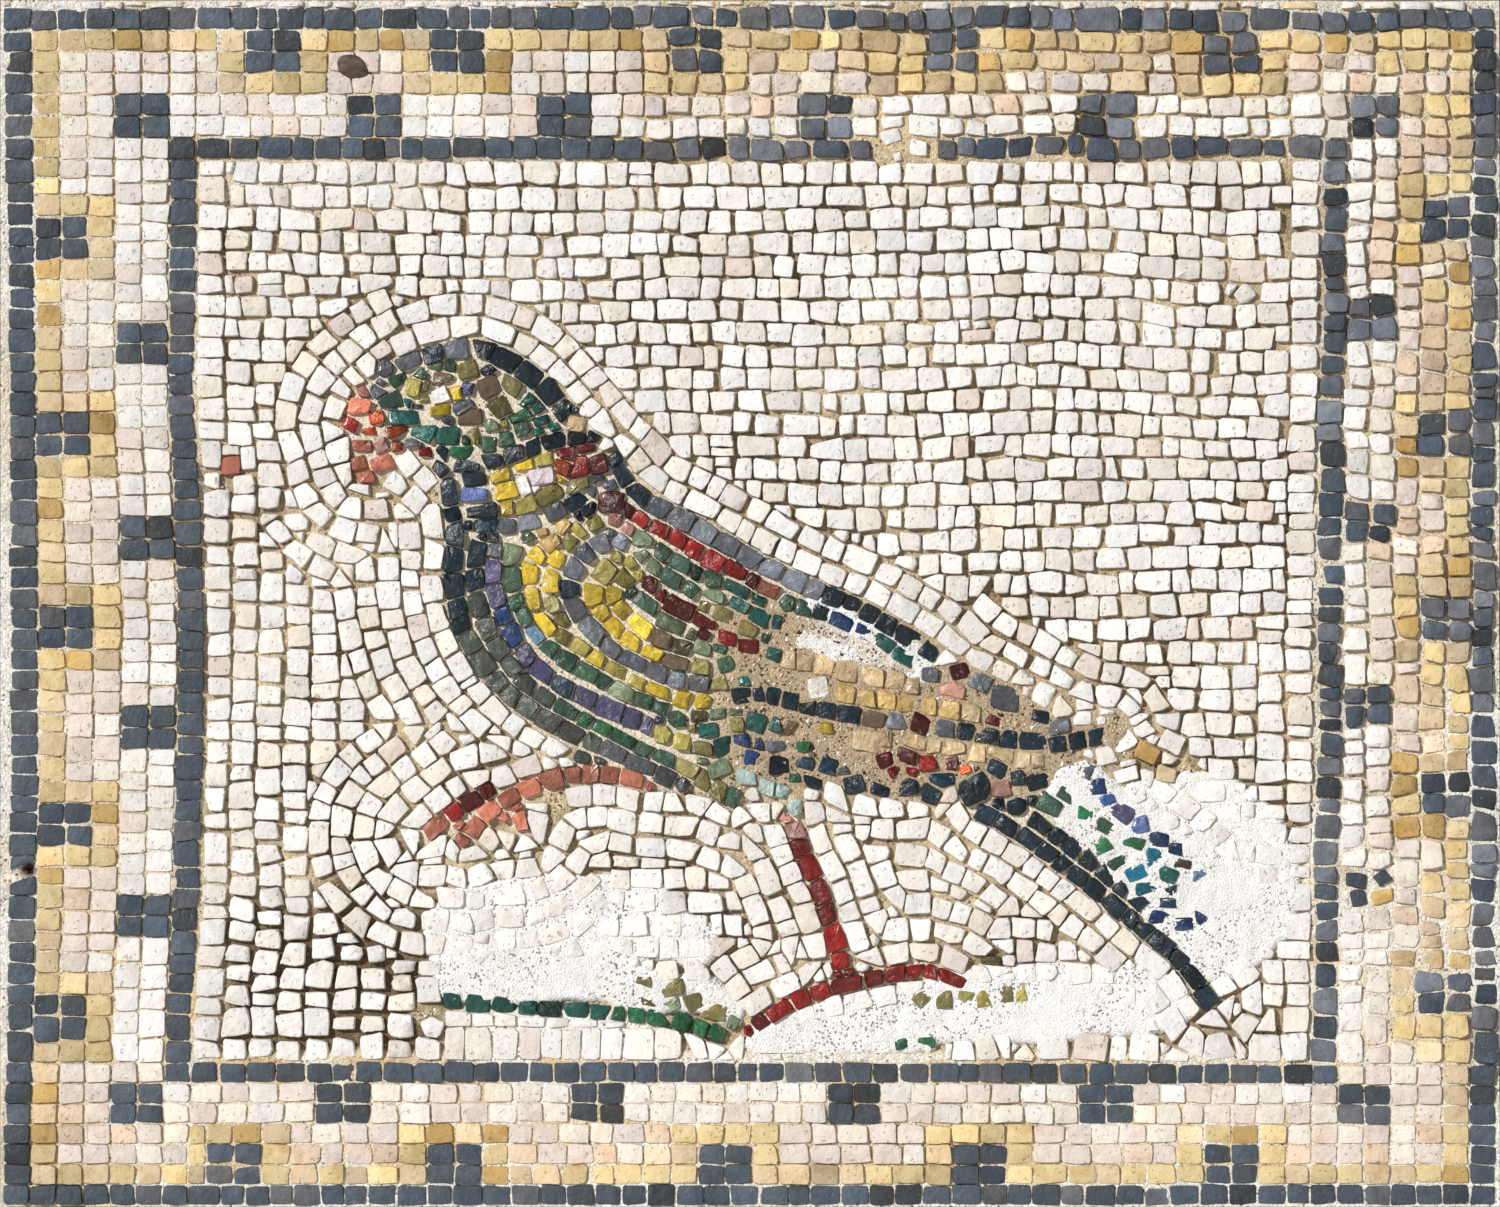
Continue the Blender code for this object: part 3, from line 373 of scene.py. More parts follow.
        (143.4, -60.4, 10.0, 7.4, 10, "grey_white"), (150.8, -69.0, 9.4, 6.2, 15, "white")],
    "inner_line": [(243.1, -111.0, 8.6, 5.6, -6, "slate_stone"),
        (253.2, -110.2, 6.0, 4.8, 30, "slate_stone"), (243.8, -118.0, 7.0, 6.2, 15, "slate_stone")],
    "pale_rows": [(56.4, 187.0, 7.4, 6.2, 25, "white"), (67.6, 182.0, 7.6, 6.4, -10, "white"),
        (59.0, 178.6, 4.4, 3.6, 10, "cream")],
    "ochre_row": [(252.9, -117.2, 7.6, 6.4, 15, "gold")],
}
# Rows of which only the single stones are left
BROKEN_ROWS = ("eye", "feather_red_row", "under_line", "rump_row", "tail_blue_row", "tail_green_row",
               "tail_teal_row", "tuft_left", "tuft_right", "beak_upper", "beak_orange")

# Rows that are one patch in the CAD model
PATCHES = {
    "head_feathers": ("head_row_outer", "head_row_middle", "eye", "head_row_inner", "cheek_row",
        "cheek_row_lower"),
    "beak": ("beak_upper", "beak_orange", "throat_front", "throat_row", "throat_tan"),
    "collar": ("collar_row_top", "collar_row_middle", "collar_row_lower"),
    "wing_green_feathers": ("wing_green_top", "wing_green_middle", "wing_sage_row", "wing_red_row",
        "wing_olive_row"),
    "belly_feathers": ("belly_row_top", "belly_row_middle", "belly_row_low"),
    "rump_feathers": ("feather_lower_tan", "feather_red_row"),
    "tail_feathers": ("tail_green_row", "tail_teal_row"),
}
NODE_OF = {row: patch for patch, rows in PATCHES.items() for row in rows}

# Old plaster repairs, in the same thousandths
REPAIR_SHARES = {
    "repair_left": [(93, -343), (144, -315), (247, -309), (349, -320), (423, -371), (406, -415),
        (338, -412), (247, -442), (122, -437), (93, -394)],
    "repair_feet": [(461, -499), (480, -478), (577, -451), (702, -423), (816, -408), (918, -411),
        (964, -440), (952, -485), (838, -501), (634, -503)],
    "repair_tail": [(873, -218), (941, -195), (1032, -212), (1086, -269), (1093, -337),
        (1066, -394), (1020, -428), (969, -394), (929, -354), (907, -315)],
    "repair_wing": [(520, -21), (577, -44), (639, -73), (673, -92), (611, -78), (520, -53)],
}

# The part of each repair where no white stones show at all, as points in mm
BARE_PLASTER = {
    "repair_left": [(-130, -144.6), (-124, -138.5), (-108, -136), (-84, -137), (-60, -139.5),
        (-40, -145), (-20, -149), (-2, -157), (0, -163), (-6, -171), (-20, -166), (-44, -163.5),
        (-76, -161), (-122, -158.5)],
    "repair_feet": [(-6, -174), (10, -168), (34, -163.5), (60, -163), (66, -155), (84, -151),
        (110, -149.5), (140, -152), (157, -160), (161, -168), (150, -173), (120, -174.5),
        (78, -175.5), (70, -180.5), (30, -181), (0, -181)],
    "repair_wing": [(24.8, 2.6), (34, 2.2), (44, -3.4), (54, -7.4), (62, -12.2), (74, -20.6),
        (78, -25.8), (70, -28.2), (62, -25.8), (52, -20.6), (40, -14.6), (28.8, -7.4),
        (22.4, -1.8)],
    "repair_tail": [(116, -76), (122, -86), (132, -96), (142, -104), (152, -118), (164, -132),
        (176, -144.6), (186, -150), (200, -142.6), (216, -134.6), (219, -120), (206, -112),
        (190, -106), (180, -98), (168, -88), (152, -76), (140, -64), (131, -62)],
}

# How the crooked lines lean away from straight ones: where each stands, shares of its length, and its
# shifts in mm there. The bird's place lies between two lines that stay still.
STILL = ((0.0, 1.0), (0.0, 0.0))
UPRIGHT_LINES = (
    (line_low.x, (0.0, 0.15, 0.35, 0.75, 1.0), (-3.0, -1.6, 0.0, -0.6, -3.0)),
    (field_low.x, (0.0, 0.16, 0.27, 0.46, 0.57, 0.67, 0.87, 1.0),
     (-4.4, -3.2, 0.4, 2.4, 1.0, -2.2, -1.2, -1.0)),
    (field_low.x + 100 * MM, *STILL),
    (field_high.x - 90 * MM, *STILL),
    (field_high.x, (0.0, 0.5, 1.0), (0.6, 3.2, 6.4)),
    (line_high.x, (0.0, 0.5, 1.0), (-0.8, -0.6, 0.0)),
)
LEVEL_LINES = (
    (line_low.z, (0.0, 0.5, 1.0), (0.2, 0.0, 0.4)),
    (field_low.z, (0.0, 0.5, 1.0), (-3.2, -3.0, -4.2)),
    (field_low.z + 12 * MM, *STILL),
    (field_high.z - 50 * MM, *STILL),
    (field_high.z, (0.0, 0.5, 1.0), (0.0, 0.0, 0.4)),
    (line_high.z, (0.0, 0.5, 1.0), (0.0, 0.6, -0.8)),
)

# The least area that a stone keeps when it is trimmed, by itself and as a share of its girth squared
LEAST_AREA = 10 * MM * MM
LEAST_ROUNDNESS = 0.042

# The shortest side, the flattest corner as an area, and the most corners that a stone has
LEAST_SIDE = 0.7 * MM
LEAST_SPAN = 1.2 * MM * MM
MOST_CORNERS = 6

Tessera = collections.namedtuple("Tessera", "corners shade wear sunk")
laid = collections.defaultdict(list)
neighbours = collections.defaultdict(list)

# A grid over the panel with the room left at each point: its distance to the nearest stone
FREE_XS = np.arange(panel_low.x, panel_high.x, FREE_STEP)
FREE_ZS = np.arange(panel_low.z, panel_high.z, FREE_STEP)
FREE_REACH = 9 * MM
free = np.full((len(FREE_ZS), len(FREE_XS)), FREE_REACH)


def linear(shade):
    """Turn display values into the linear ones that Blender's colours hold."""
    shade = np.asarray(shade, float)
    return np.where(shade <= 0.04045, shade / 12.92, ((shade + 0.055) / 1.055) ** 2.4)


def soft_step(value, low, high):
    """Ease from 0 to 1 between two limits, with 3t^2 - 2t^3."""
    t = np.clip((value - low) / (high - low), 0, 1)
    return t * t * (3 - 2 * t)


def between(value, low, high, ease):
    """Ease from 0 to 1 just past a low limit, and back to 0 just past a high one."""
    return soft_step(value, low, low + ease) * (1 - soft_step(value, high, high + ease))


def blend_four(table, row, column, a, b):
    """Blend the four corners of a table's cell by the shares a across it and b up it. The table
    repeats past its edges.
    """
    rows, columns = table.shape
    here, after = column % columns, (column + 1) % columns
    low = table[row % rows, here] * (1 - a) + table[row % rows, after] * a
    high = table[(row + 1) % rows, here] * (1 - a) + table[(row + 1) % rows, after] * a
    return low * (1 - b) + high * b


def value_noise(x, z, size, seed):
    """Smooth noise from -1 to 1: random values on a square lattice of the given size, eased between
    its corners along each direction.
    """
    lattice = np.random.default_rng(seed).uniform(-1.0, 1.0, (256, 256))
    u = np.asarray(x) / size + 77.3
    v = np.asarray(z) / size + 91.7
    column = np.floor(u).astype(int)
    row = np.floor(v).astype(int)
    return blend_four(lattice, row, column, soft_step(u - column, 0, 1), soft_step(v - row, 0, 1))


def grid_of(xs, zs):
    """The points of a grid, row by row."""
    return np.stack(np.meshgrid(xs, zs), axis=-1)


def leant(points):
    """Shift points of the straight layout to where the crooked lines of the real one run: the shifts
    of two neighbouring lines are blended in between, and the bird's own place stays.
    """
    x, z = points[..., 0], points[..., 1]
    up = (z - line_low.z) / (line_high.z - line_low.z)
    across = (x - line_low.x) / (line_high.x - line_low.x)
    moved = np.array(points, float)
    moved[..., 0] += MM * blended(x, up, UPRIGHT_LINES)
    moved[..., 1] += MM * blended(z, across, LEVEL_LINES)
    return moved


def blended(value, share, lines):
    """Blend the shifts of leaning lines at a share of their length: linear from each line to the next,
    level outside them.
    """
    total = np.zeros_like(value)
    places = [line[0] for line in lines]
    for k, (place, shares, shifts) in enumerate(lines):
        weight = np.ones_like(value)
        if k > 0:
            weight = np.minimum(weight, (value - places[k - 1]) / (place - places[k - 1]))
        if k < len(lines) - 1:
            weight = np.minimum(weight, (places[k + 1] - value) / (places[k + 1] - place))
        total = total + np.interp(share, shares, shifts) * np.clip(weight, 0, 1)
    return total


def area_of(corners):
    """Area of an outline, positive if it runs anticlockwise: half the sum of its cross products."""
    after = np.roll(corners, -1, axis=0)
    return 0.5 * np.sum(corners[:, 0] * after[:, 1] - corners[:, 1] * after[:, 0])


def cut(corners, point, normal):
    """Cut a convex outline along a line and keep the side that the normal points to."""
    side = (corners - point) @ normal
    if (side >= 0).all():
        return corners
    kept = []
    for here, there, a, b in zip(corners, np.roll(corners, -1, 0), side, np.roll(side, -1)):
        if a >= 0:
            kept.append(here)
        if a * b < 0:
            kept.append(here + (there - here) * a / (a - b))
    return np.array(kept).reshape(-1, 2)


def left_of(along):
    """Unit vectors to the left of some directions."""
    length = np.maximum(np.hypot(along[:, 0], along[:, 1]), 1e-9)
    return np.column_stack([-along[:, 1], along[:, 0]]) / length[:, None]


def side_normals(corners):
    """Outward normals of an anticlockwise outline's sides."""
    return -left_of(np.roll(corners, -1, axis=0) - corners)


def trimmed(corners, others):
    """Trim an outline as a setter trims a stone: for each neighbour that it overlaps, cut it along
    that side of the neighbour which leaves the most.
    """
    for other in others:
        if len(corners) < 3:
            return corners
        normals = side_normals(other)
        clear = np.einsum("ijk,jk->ij", corners[:, None] - other[None], normals)
        if (clear.min(axis=0) >= -0.05 * MM).any():
            continue
        own = np.einsum("ijk,jk->ij", other[:, None] - corners[None], side_normals(corners))
        if (own.min(axis=0) >= -0.05 * MM).any():
            continue
        pieces = [cut(corners, point, normal) for point, normal in zip(other, normals)]
        corners = max(pieces, key=lambda piece: abs(area_of(piece)) if len(piece) > 2 else 0.0)
    return corners


def cells_round(corners):
    """The squares of the neighbour index that an outline touches."""
    low = np.floor(corners.min(axis=0) / TESSERA_WIDTH).astype(int)
    high = np.floor(corners.max(axis=0) / TESSERA_WIDTH).astype(int)
    return [(i, j) for i in range(low[0], high[0] + 1) for j in range(low[1], high[1] + 1)]


def within_panel(points):
    """Keep points a little inside the panel's edges."""
    margin = 0.35 * MM
    low = (panel_low.x + margin, panel_low.z + margin)
    high = (panel_high.x - margin, panel_high.z - margin)
    return np.clip(points, low, high)


def lay(node, corners, shade, wear=0.3, sunk=0.0, least=0.22, trim=True):
    """Lay one tessera: trim it against what is there, and leave it out where too little is left."""
    corners = within_panel(np.asarray(corners, float))
    if area_of(corners) < 0:
        corners = corners[::-1]
    full = area_of(corners)
    if trim:
        found = {id(other): other for cell in cells_round(corners) for other in neighbours[cell]}
        corners = trimmed(corners, list(found.values()))
        if len(corners) < 3:
            return
        girth = np.hypot(*(np.roll(corners, -1, axis=0) - corners).T).sum()
        if area_of(corners) < max(least * full, LEAST_AREA, LEAST_ROUNDNESS * girth ** 2):
            return
    corners = simple(corners)
    claim(corners)
    laid[node].append(Tessera(corners, shade, wear, sunk))


def claim(corners):
    """Keep a stone's place: enter it in the neighbour index, and lower the free room round it to each
    point's distance from the line of the nearest side.
    """
    for cell in cells_round(corners):
        neighbours[cell].append(corners)
    low = corners.min(axis=0) - FREE_REACH
    high = corners.max(axis=0) + FREE_REACH
    left, right = np.searchsorted(FREE_XS, (low[0], high[0]))
    bottom, top = np.searchsorted(FREE_ZS, (low[1], high[1]))
    points = grid_of(FREE_XS[left:right], FREE_ZS[bottom:top])
    away = ((points[..., None, :] - corners) * side_normals(corners)).sum(axis=-1).max(axis=-1)
    free[bottom:top, left:right] = np.minimum(free[bottom:top, left:right], away)


def free_at(x, z):
    """The free room at some places, from the next point of its grid."""
    column = np.clip(np.searchsorted(FREE_XS, x), 0, len(FREE_XS) - 1)
    row = np.clip(np.searchsorted(FREE_ZS, z), 0, len(FREE_ZS) - 1)
    return free[row, column]


def simple(corners):
    """Take corners away until few enough are left and no side or corner is tiny: the start of a tiny
    side, or else the corner that changes the area least.
    """
    while len(corners) > 3:
        before = np.roll(corners, 1, axis=0)
        after = np.roll(corners, -1, axis=0)
        (ax, az), (bx, bz) = (corners - before).T, (after - before).T
        spans = abs(ax * bz - az * bx)
        sides = np.hypot(*(after - corners).T)
        few = len(corners) <= MOST_CORNERS
        if few and spans.min() > LEAST_SPAN and sides.min() > LEAST_SIDE:
            break
        smallest = sides if few and sides.min() <= LEAST_SIDE else spans
        corners = np.delete(corners, int(smallest.argmin()), axis=0)
    return corners


def uneven(corners, amount):
    """Move each corner of an outline a little, at random."""
    return corners + random.normal(0.0, amount, np.shape(corners))


def split(low, high, pitch, spread=0.16):
    """Divide a length into pieces near a pitch, each a little longer or shorter at random."""
    count = max(1, int(round((high - low) / pitch)))
    sizes = np.clip(random.normal(1.0, spread, count), 0.6, 1.5)
    return low + np.concatenate([[0.0], np.cumsum(sizes)]) / sizes.sum() * (high - low)


def pick(choices):
    """Pick one of some shades, given with their weights."""
    names = list(choices)
    weights = np.array([choices[name] for name in names], float)
    return names[random.choice(len(names), p=weights / weights.sum())]


def rotation(angle):
    """The matrix that turns rows of x and z anticlockwise."""
    c, s = math.cos(angle), math.sin(angle)
    return np.array([[c, s], [-s, c]])


def turned(width, height, degrees):
    """The corners of a rectangle round the origin, turned."""
    quad = np.array([(-width, -height), (width, -height), (width, height), (-width, height)]) / 2
    return quad @ rotation(math.radians(degrees))


def lay_placed():
    """Lay the single stones, each a little uneven, before any row."""
    for node, stones in PLACED.items():
        glass = node not in ("white_field", "inner_line", "ochre_row", "pale_rows")
        for x, z, width, height, degrees, shade in stones:
            grown = 1.1 if glass else 0.4
            quad = turned((width + grown) * MM, (height + grown) * MM, degrees)
            quad = np.array([x, z]) * MM + uneven(quad, 0.5 * MM)
            lay(node, quad, shade, 0.62 if glass else 0.5, 0.0, least=0.4)


# Each side of the border: its start, its direction, the way inwards, and a stone's sizes along it
# and across it
SIDES = {
    "top": ((line_low.x, line_high.z), (1, 0), (0, -1), TESSERA_WIDTH, TESSERA_HEIGHT),
    "bottom": ((line_low.x, line_low.z), (1, 0), (0, 1), TESSERA_WIDTH, TESSERA_HEIGHT),
    "left": ((line_low.x, line_low.z), (0, 1), (1, 0), TESSERA_HEIGHT, TESSERA_WIDTH),
    "right": ((line_high.x, line_low.z), (0, 1), (-1, 0), TESSERA_HEIGHT, TESSERA_WIDTH),
}

# Rows of the border that the blocks of its two lines take, and the share of the top side from which
# the border is rough
OUTER_BLOCK_ROWS = (1, 2)
INNER_BLOCK_ROWS = (4, 5)
ROUGH_FROM = 0.42

# Shades and their weights: of the pale rows by their number from outside, then of the other rows
BORDER_PALES = {
    2: {"pink": 5, "cream": 3, "grey_white": 1, "peach": 1},
    3: {"pink": 3, "grey_white": 3, "cream": 1},
    4: {"grey_white": 4, "pink": 2, "white": 2},
    5: {"white": 5, "grey_white": 3, "pink": 1},
}
LOW_PALES = {
    2: {"pink": 5, "peach": 3, "cream": 1},
    3: {"pink": 5, "peach": 1, "cream": 2},
    4: {"pink": 4, "cream": 3, "grey_white": 2},
    5: {"cream": 3, "grey_white": 3, "pink": 3, "white": 1},
}
WARM_PALES = {
    2: {"tan": 3, "peach": 4, "ochre": 2, "pink": 2, "cream": 1},
    3: {"peach": 3, "tan": 1, "pink": 3, "cream": 3},
    4: {"pink": 3, "cream": 3, "white": 3, "peach": 1},
    5: {"white": 5, "grey_white": 2, "cream": 1},
}
OCHRES = {"ochre": 6, "tan": 3, "gold": 1.5}
WARM_OCHRES = {"gold": 2.5, "ochre": 5, "tan": 3, "sand": 1}
SLATES = {"slate_stone": 8, "slate": 1, "dark_slate": 0.7}
WARM_SLATES = {"slate_stone": 5, "slate": 4, "pale_slate": 4, "dark_slate": 2}
EDGE_WHITES = {"grey_white": 4, "cream": 2, "tan": 1}
WHITES = {"white": 12, "grey_white": 5, "cream": 1.5, "pink": 0.7}
PLASTERED_WHITES = {"white": 6, "grey_white": 2}


def is_rough(side, share):
    """Whether the border is rough and warm in colour at a share of a side's length."""
    return side == "right" or (side == "top" and share > ROUGH_FROM)


def border_cell(side, share, row, blocks, corner_cell):
    """The node and the shade of one place in the border."""
    warm = is_rough(side, share)
    slate = pick(WARM_SLATES if warm else SLATES)
    ochre = pick(WARM_OCHRES if warm else OCHRES)
    pales = WARM_PALES if warm else LOW_PALES if side == "bottom" else BORDER_PALES
    if row == 0:
        return "outer_line", slate
    if row == ACROSS - 1 and corner_cell is None:
        return "inner_line", slate
    if corner_cell is not None:
        nearer, farther = min(corner_cell), max(corner_cell)
        if nearer == 0:
            return "outer_line", slate
        if nearer == ACROSS - 1 or (nearer in INNER_BLOCK_ROWS and farther in INNER_BLOCK_ROWS):
            return "inner_line", slate
        if nearer == 1:
            return "ochre_row", ochre
        return "pale_rows", pick(pales[min(nearer, 5)])
    distance_outer, distance_inner = blocks
    if row in OUTER_BLOCK_ROWS and distance_outer < BLOCK_TESSERAE / 2:
        return "outer_line", slate
    if row in INNER_BLOCK_ROWS and distance_inner < BLOCK_TESSERAE / 2:
        return "inner_line", slate
    if row == 1 or (row in (2, 3) and distance_outer < BLOCK_TESSERAE / 2 + 1):
        return "ochre_row", ochre
    return "pale_rows", pick(pales[row])


def lay_side(side):
    """Lay the seven rows of one side of the border, with the dark blocks on both of its lines. The top
    and the bottom take the corners.
    """
    origin, along, inward, size, across = SIDES[side]
    origin, along, inward = (np.array(v, float) for v in (origin, along, inward))
    axis = 0 if side in ("top", "bottom") else 2
    length = line_high[axis] - line_low[axis]
    panel_length = panel_high[axis] - panel_low[axis]
    margin = line_low[axis] - panel_low[axis]
    corner = ACROSS * size
    outer, inner = ([share * panel_length - margin for share in shares[side]]
                    for shares in (OUTER_BLOCK_SHARES, INNER_BLOCK_SHARES))
    for row in range(ACROSS):
        fixed = []
        if 1 <= row <= 3:
            fixed = [place + k * size for place in outer for k in range(-2, 3)]
        elif row in INNER_BLOCK_ROWS:
            fixed = [place + k * size for place in inner for k in range(-1, 2)]
        fixed = [place for place in fixed if corner < place < length - corner]
        stops = sorted([corner] + fixed + [length - corner])
        cuts = []
        for low, high in zip(stops[:-1], stops[1:]):
            if high - low < 0.35 * size:
                continue
            rough = is_rough(side, (low + high) / 2 / length)
            at = split(low, high, size, 0.20 if rough else 0.10)
            cuts += [(a, b, None) for a, b in zip(at[:-1], at[1:])]
        if axis == 0:
            cuts += [(k * size, (k + 1) * size, k) for k in range(ACROSS)]
            cuts += [(length - (k + 1) * size, length - k * size, k) for k in range(ACROSS)]
        for low, high, column in cuts:
            middle = (low + high) / 2
            gaps = [min(abs(middle - place) for place in places) / size for places in (outer, inner)]
            corner_cell = None if column is None else (column, row)
            node, shade = border_cell(side, middle / length, row, gaps, corner_cell)
            rough = is_rough(side, middle / length)
            wear = random.uniform(0.55, 0.95) if rough else 0.22
            if side == "left" and node == "ochre_row":
                wear = 0.35
            quad = np.array([origin + along * s + inward * across * t
                             for s, t in ((low, row), (high, row), (high, row + 1), (low, row + 1))])
            quad = leant(uneven(quad, (0.22 + 0.45 * wear) * MM))
            if rough:
                quad = quad + 1.5 * MM * np.column_stack([
                    value_noise(quad[:, 0], quad[:, 1], 17 * MM, seed) for seed in (71, 72)])
            if not missing(quad.mean(axis=0)):
                lay(node, quad, shade, wear, least=0.45)


# Places where tesserae are gone: x, z and radius in mm
MISSING = {
    "inner_top_gap": (62.0, 183.2, 8.5),
    "between_the_toes": (-76.0, -79.5, 5.0),
    "under_the_raised_leg": (-105.0, -117.0, 5.5),
    "over_the_tail": (146.0, -52.0, 6.0),
    "beside_the_tail": (174.0, -68.0, 6.0),
    "under_the_tail": (151.0, -151.5, 5.5),
    "left_of_the_ground": (-131.0, -163.0, 6.0),
    "under_the_beak": (-127.0, 48.0, 5.0),
    "left_row_stone": (-213.0, 45.0, 3.5),
}


def missing(centre):
    """Whether a place has lost its tessera."""
    x, z = np.asarray(centre) / MM
    return any(math.hypot(x - a, z - b) < radius for a, b, radius in MISSING.values())


def lay_edge_strip():
    """Lay the cut row of white stones above the outer line, as far as the panel's top edge."""
    low, high = line_high.z, panel_high.z - 0.4 * MM
    cuts = split(panel_low.x + 1.5 * MM, panel_high.x - 2.5 * MM, TESSERA_WIDTH, 0.25)
    for a, b in zip(cuts[:-1], cuts[1:]):
        quad = np.array([(a, low), (b, low), (b, high + 3 * MM), (a, high + 3 * MM)])
        quad = leant(uneven(quad, 0.5 * MM))
        quad[:, 1] = np.minimum(quad[:, 1], high)
        if random.random() < 0.85:
            lay("pale_rows", quad, pick(EDGE_WHITES), 0.7, 0.25 * MM, trim=False)


def lengths_along(line):
    """The length of a line up to each of its points."""
    return np.concatenate([[0.0], np.cumsum(np.hypot(*np.diff(line, axis=0).T))])


def points_at(places, run, line):
    """Points of a line at some lengths along it. The length up to each of its own points is given."""
    return np.column_stack([np.interp(places, run, line[:, k]) for k in range(2)])


def smooth_path(points, step):
    """Evenly spaced points on a smooth curve through given points, and its length: a cubic whose slope
    at each given point is half the way from the point before to the point after.
    """
    given = np.array(points, float)
    given = np.vstack([2 * given[0] - given[1], given, 2 * given[-1] - given[-2]])
    t = np.linspace(0.0, 1.0, 24, endpoint=False)[:, None]
    dense = [0.5 * (2 * b + (c - a) * t + (2 * a - 5 * b + 4 * c - d) * t**2
                    + (3 * b - 3 * c + d - a) * t**3)
             for a, b, c, d in zip(given[:-3], given[1:-2], given[2:-1], given[3:])]
    dense = np.vstack(dense + [given[-2:-1]])
    run = lengths_along(dense)
    at = np.linspace(0.0, run[-1], max(2, int(round(run[-1] / step)) + 1))
    return points_at(at, run, dense), run[-1]


def shade_along(row, share):
    """The shade of a row of the bird at a share of its length: in the row's words, each shade is
    followed by how many parts of the row it takes.
    """
    shades = []
    for part in ROW_SHARES[row][3].split(", "):
        name, count = part.split(" ")
        shades += [name] * int(count)
    return shades[min(int(share * len(shades)), len(shades) - 1)]


def bird_points(points):
    """The places of points in thousandths of the bird's length."""
    return [bird_start + BIRD_LENGTH / 1000 * np.array(point) for point in points]


def bird_paths():
    """The middle line, the length and the half width of each row of the bird."""
    paths = {}
    for name, (width, points, _, _) in ROW_SHARES.items():
        path, run = smooth_path(bird_points(points), GRID_STEP)
        paths[name] = (path, run, width * BIRD_LENGTH / 1000 / 2)
    return paths


def lay_bird_row(name, paths):
    """Lay one row of the bird: cuts square to its path, as wide as the rows beside it leave room."""
    path, run, wide = paths[name]
    wear = ROW_SHARES[name][2]
    rest = np.vstack([other[0] for key, other in paths.items() if key != name])
    gap = np.sqrt(((path[:, None] - rest[None]) ** 2).sum(axis=2)).min(axis=1)
    half = np.clip(gap / 2 + 0.5 * MM, 2.2 * MM, wide + 0.7 * MM)
    outwards = left_of(np.gradient(path, axis=0)) * half[:, None]
    along = np.linspace(0.0, run, len(path))
    pitch = run if run < 1.2 * TESSERA_HEIGHT else (10.2 - 2.4 * wear) * MM
    cuts = split(0.0, run, pitch, 0.12 + 0.14 * wear)
    for low, high in zip(cuts[:-1], cuts[1:]):
        slant = random.normal(0.0, 0.25 + 0.5 * wear, 2) * MM
        ends = np.array([low, high])
        quad = np.vstack([points_at(ends - slant, along, path - outwards),
                          points_at(ends + slant, along, path + outwards)[::-1]])
        if wear > 0.75:
            middle = quad.mean(axis=0)
            turn = rotation(random.normal(0.0, 0.16))
            quad = middle + (quad - middle) @ turn * random.uniform(0.9, 1.05)
        quad = uneven(quad, (0.15 + 0.4 * wear) * MM)
        shade = shade_along(name, (low + high) / 2 / run)
        lay(NODE_OF.get(name, name), quad, shade, 0.22 + 0.45 * wear, least=0.3)


def lay_bird():
    """Lay all rows of the bird, and return their paths."""
    paths = bird_paths()
    for name in ROW_SHARES:
        if name not in BROKEN_ROWS:
            lay_bird_row(name, paths)
    return paths


def outlines(field, xs, zs):
    """The closed lines along which a field on a grid passes zero, by marching squares."""
    below = field < 0
    mixed = below[:-1, :-1].astype(int) + below[:-1, 1:] + below[1:, :-1] + below[1:, 1:]
    after = {}
    for row, column in zip(*np.nonzero((mixed > 0) & (mixed < 4))):
        corners = ((row, column), (row, column + 1), (row + 1, column + 1), (row + 1, column))
        flags = [below[corner] for corner in corners]
        edges = [(corners[k], corners[(k + 1) % 4]) for k in range(4)]
        for k in range(4):
            if flags[k] or not flags[(k + 1) % 4]:
                continue
            leave = next(m % 4 for m in range(k + 1, k + 5) if flags[m % 4] and not flags[(m + 1) % 4])
            after[frozenset(edges[leave])] = frozenset(edges[k])
    loops = []
    while after:
        edge = next(iter(after))
        ring = []
        while edge in after:
            (r0, c0), (r1, c1) = sorted(edge)
            part = field[r0, c0] / (field[r0, c0] - field[r1, c1])
            ring.append((xs[c0] + part * (xs[c1] - xs[c0]), zs[r0] + part * (zs[r1] - zs[r0])))
            edge = after.pop(edge)
        loops.append(np.array(ring))
    return loops


def inside(points, loop):
    """Whether points lie in an outline: a ray to the right crosses it an odd number of times."""
    after = np.roll(loop, -1, axis=0)
    rise = np.where(after[:, 1] == loop[:, 1], 1e-12, after[:, 1] - loop[:, 1])
    flat = np.reshape(points, (-1, 2))
    found = []
    for part in np.array_split(flat, len(flat) // 8000 + 1):
        x, z = part[:, :1], part[:, 1:]
        crosses = (loop[:, 1] > z) != (after[:, 1] > z)
        at = loop[:, 0] + (z - loop[:, 1]) / rise * (after[:, 0] - loop[:, 0])
        found.append((crosses & (x < at)).sum(axis=1) % 2 == 1)
    return np.concatenate(found).reshape(np.shape(points)[:-1])


def distance_to_line(points, line):
    """Distance of points to a line of many short steps: the nearest of its points."""
    best = np.full(points.shape[:-1], 1.0)
    for block in np.array_split(line, max(1, len(line) // 60)):
        near = np.sqrt(((points[..., None, :] - block) ** 2).sum(axis=-1)).min(axis=-1)
        best = np.minimum(best, near)
    return best


def bird_grid():
    """A grid over the white field, with the distance of each point to the edge of the nearest row
    of the bird's body and legs.
    """
    xs = np.arange(field_low.x - 8 * MM, field_high.x + 8 * MM, 2 * GRID_STEP)
    zs = np.arange(field_low.z - 8 * MM, field_high.z + 8 * MM, 2 * GRID_STEP)
    grid = grid_of(xs, zs)
    field = np.full(grid.shape[:2], 1.0)
    for name, (path, _, wide) in bird.items():
        if not name.startswith(("tuft", "ground")):
            field = np.minimum(field, distance_to_line(grid, path[::3]) - wide)
    return field, xs, zs


